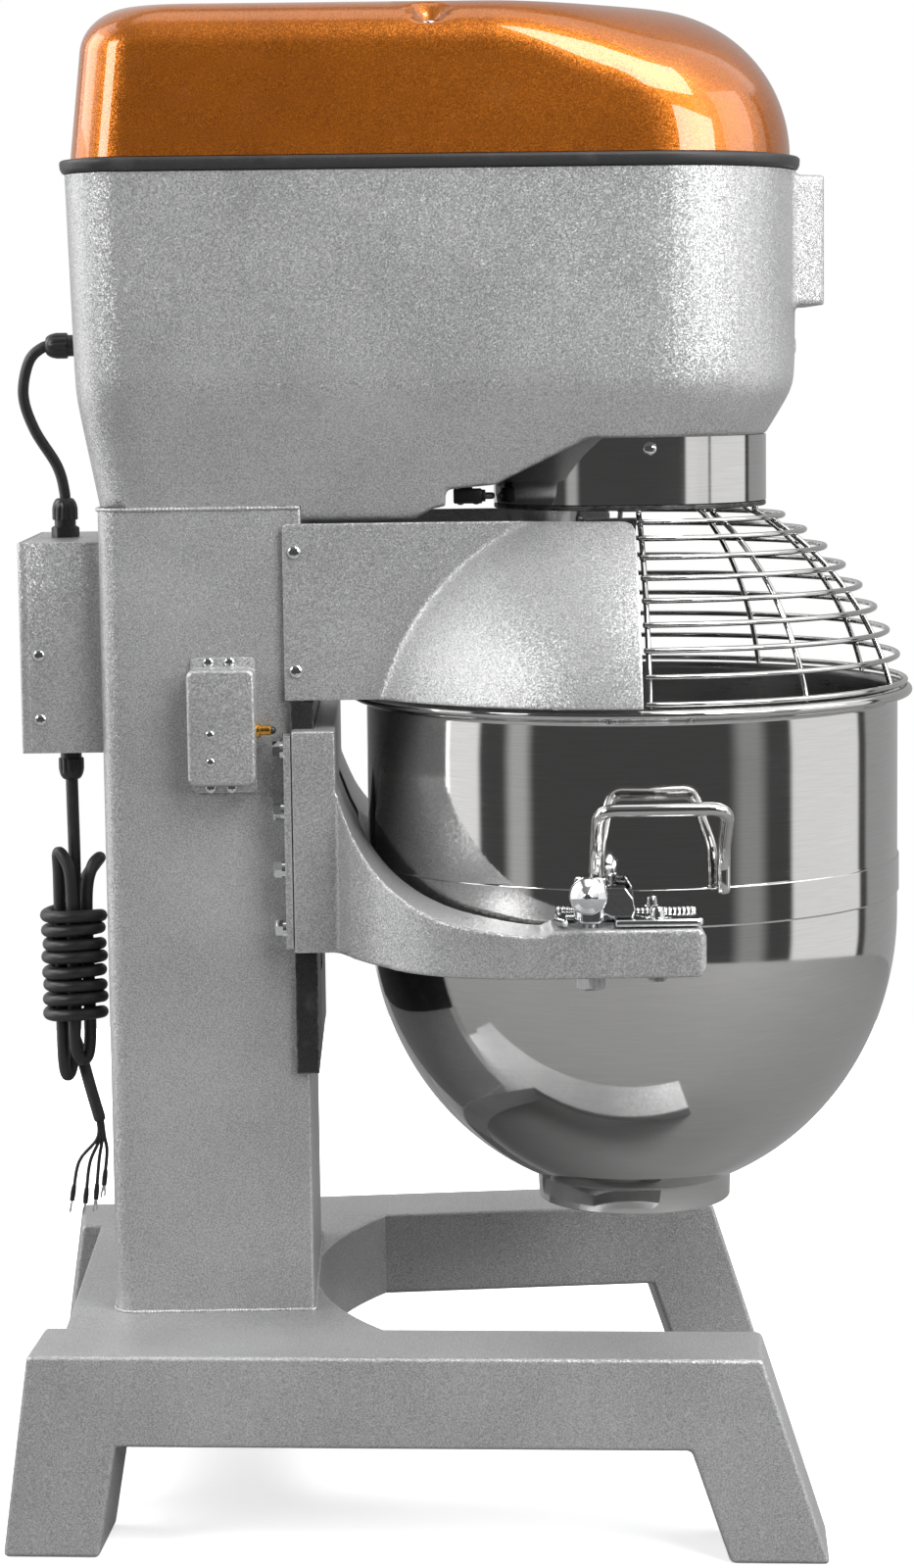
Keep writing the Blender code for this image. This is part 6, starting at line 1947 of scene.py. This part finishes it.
def make_floor():
    """A pale round floor that fades into the backdrop before its edge."""
    radius = 2.2
    rings = [[(r * math.cos(a), r * math.sin(a), 0.0) for a in [math.radians(3.0 * k) for k in range(120)]]
             for r in (0.0, 0.7, 1.4, radius)]
    floor = surface("floor", rings, close_columns=True)
    floor.location.z = -0.0004
    material = bpy.data.materials.new("pale_floor")
    material.use_nodes = True
    tree = material.node_tree
    shader = tree.nodes["Principled BSDF"]
    coordinates = add(tree, "ShaderNodeTexCoord").outputs["Object"]
    seen = add(tree, "ShaderNodeLightPath").outputs["Is Camera Ray"]
    mottle = remap(tree, noise(tree, coordinates, 3.0), 0.3, 0.7, 0.0, 1.0)
    pale = mix_colour(tree, mottle, opaque((0.93, 0.93, 0.93)), opaque((0.95, 0.95, 0.95)))
    colour = mix_colour(tree, seen, opaque((0.25, 0.25, 0.25)), pale)
    tree.links.new(colour, shader.inputs["Base Color"])
    shader.inputs["Roughness"].default_value = 0.8
    away = add(tree, "ShaderNodeVectorMath", {"operation": "LENGTH"}, i0=coordinates).outputs["Value"]
    glow = maths(tree, "ADD", 0.55, remap(tree, away, 0.6, 1.3, 0.0, 0.45, True))
    shader.inputs["Emission Color"].default_value = opaque((1.0, 1.0, 1.0))
    tree.links.new(maths(tree, "MULTIPLY", seen, glow), shader.inputs["Emission Strength"])
    floor.data.materials.append(material)


def area_light(name, azimuth, elevation, distance, size, power, target=(0.0, 0.0, 0.75)):
    """A soft light; azimuth 0 is the camera's side (-Y) and turns towards +X."""
    turn, rise = math.radians(azimuth), math.radians(elevation)
    out = Vector((math.sin(turn) * math.cos(rise), -math.cos(turn) * math.cos(rise), math.sin(rise)))
    light = bpy.data.lights.new(name, "AREA")
    light.shape = "RECTANGLE"
    light.size, light.size_y = size
    light.energy = power
    lamp = bpy.data.objects.new(name, light)
    bpy.context.scene.collection.objects.link(lamp)
    lamp.location = Vector(target) + out * distance
    lamp.rotation_euler = out.to_track_quat("Z", "Y").to_euler()


CAMERA_PLACE = (-0.0547, -3.1370, 0.9839)
CAMERA_YAW = math.radians(0.884)
CAMERA_PITCH = math.radians(6.708)
CAMERA_ROLL = math.radians(-0.728)
CAMERA_LENS = 81.14


def make_camera():
    camera = bpy.data.cameras.new("camera")
    camera.lens = CAMERA_LENS
    camera.sensor_width = 36.0
    eye = bpy.data.objects.new("camera", camera)
    bpy.context.scene.collection.objects.link(eye)
    forward = Vector((
        math.sin(CAMERA_YAW) * math.cos(CAMERA_PITCH),
        math.cos(CAMERA_YAW) * math.cos(CAMERA_PITCH),
        -math.sin(CAMERA_PITCH),
    ))
    right = forward.cross(Vector((0, 0, 1))).normalized()
    up = right.cross(forward)
    turned_right = right * math.cos(CAMERA_ROLL) + up * math.sin(CAMERA_ROLL)
    turned_up = -right * math.sin(CAMERA_ROLL) + up * math.cos(CAMERA_ROLL)
    basis = Matrix((turned_right, turned_up, -forward)).transposed().to_4x4()
    eye.matrix_world = Matrix.Translation(CAMERA_PLACE) @ basis
    bpy.context.scene.camera = eye


def make_studio():
    make_surroundings()
    make_floor()
    area_light("right_softbox", 42.0, 15.0, 3.4, (1.60, 0.80), 40.0)
    area_light("left_softbox", -52.0, 24.0, 3.4, (1.00, 1.20), 36.0)
    area_light("overhead", 34.0, 46.0, 3.4, (1.60, 1.50), 78.0)
    area_light("right", 78.0, 24.0, 3.4, (1.60, 1.60), 18.0)
    area_light("left", -96.0, 30.0, 3.4, (1.60, 1.60), 26.0)
    make_camera()
    bpy.context.scene.view_settings.view_transform = "Standard"


# ---------------------------------------------------------------- build

make_base()
make_deck()
make_column()
make_head()
make_cover()
make_skirt()
make_guard()
make_shield("left", -1)
make_shield("right", 1)
make_guide_tabs()
make_bowl()
make_ears()
make_handles()
make_yoke()
make_slide_parts()
make_clamps()
make_limit_switch()
make_sensor()
make_electrical_box()
make_glands()
make_cables()
make_controls()
make_handwheel()
make_planetary()
finish_packed_nodes()
make_studio()
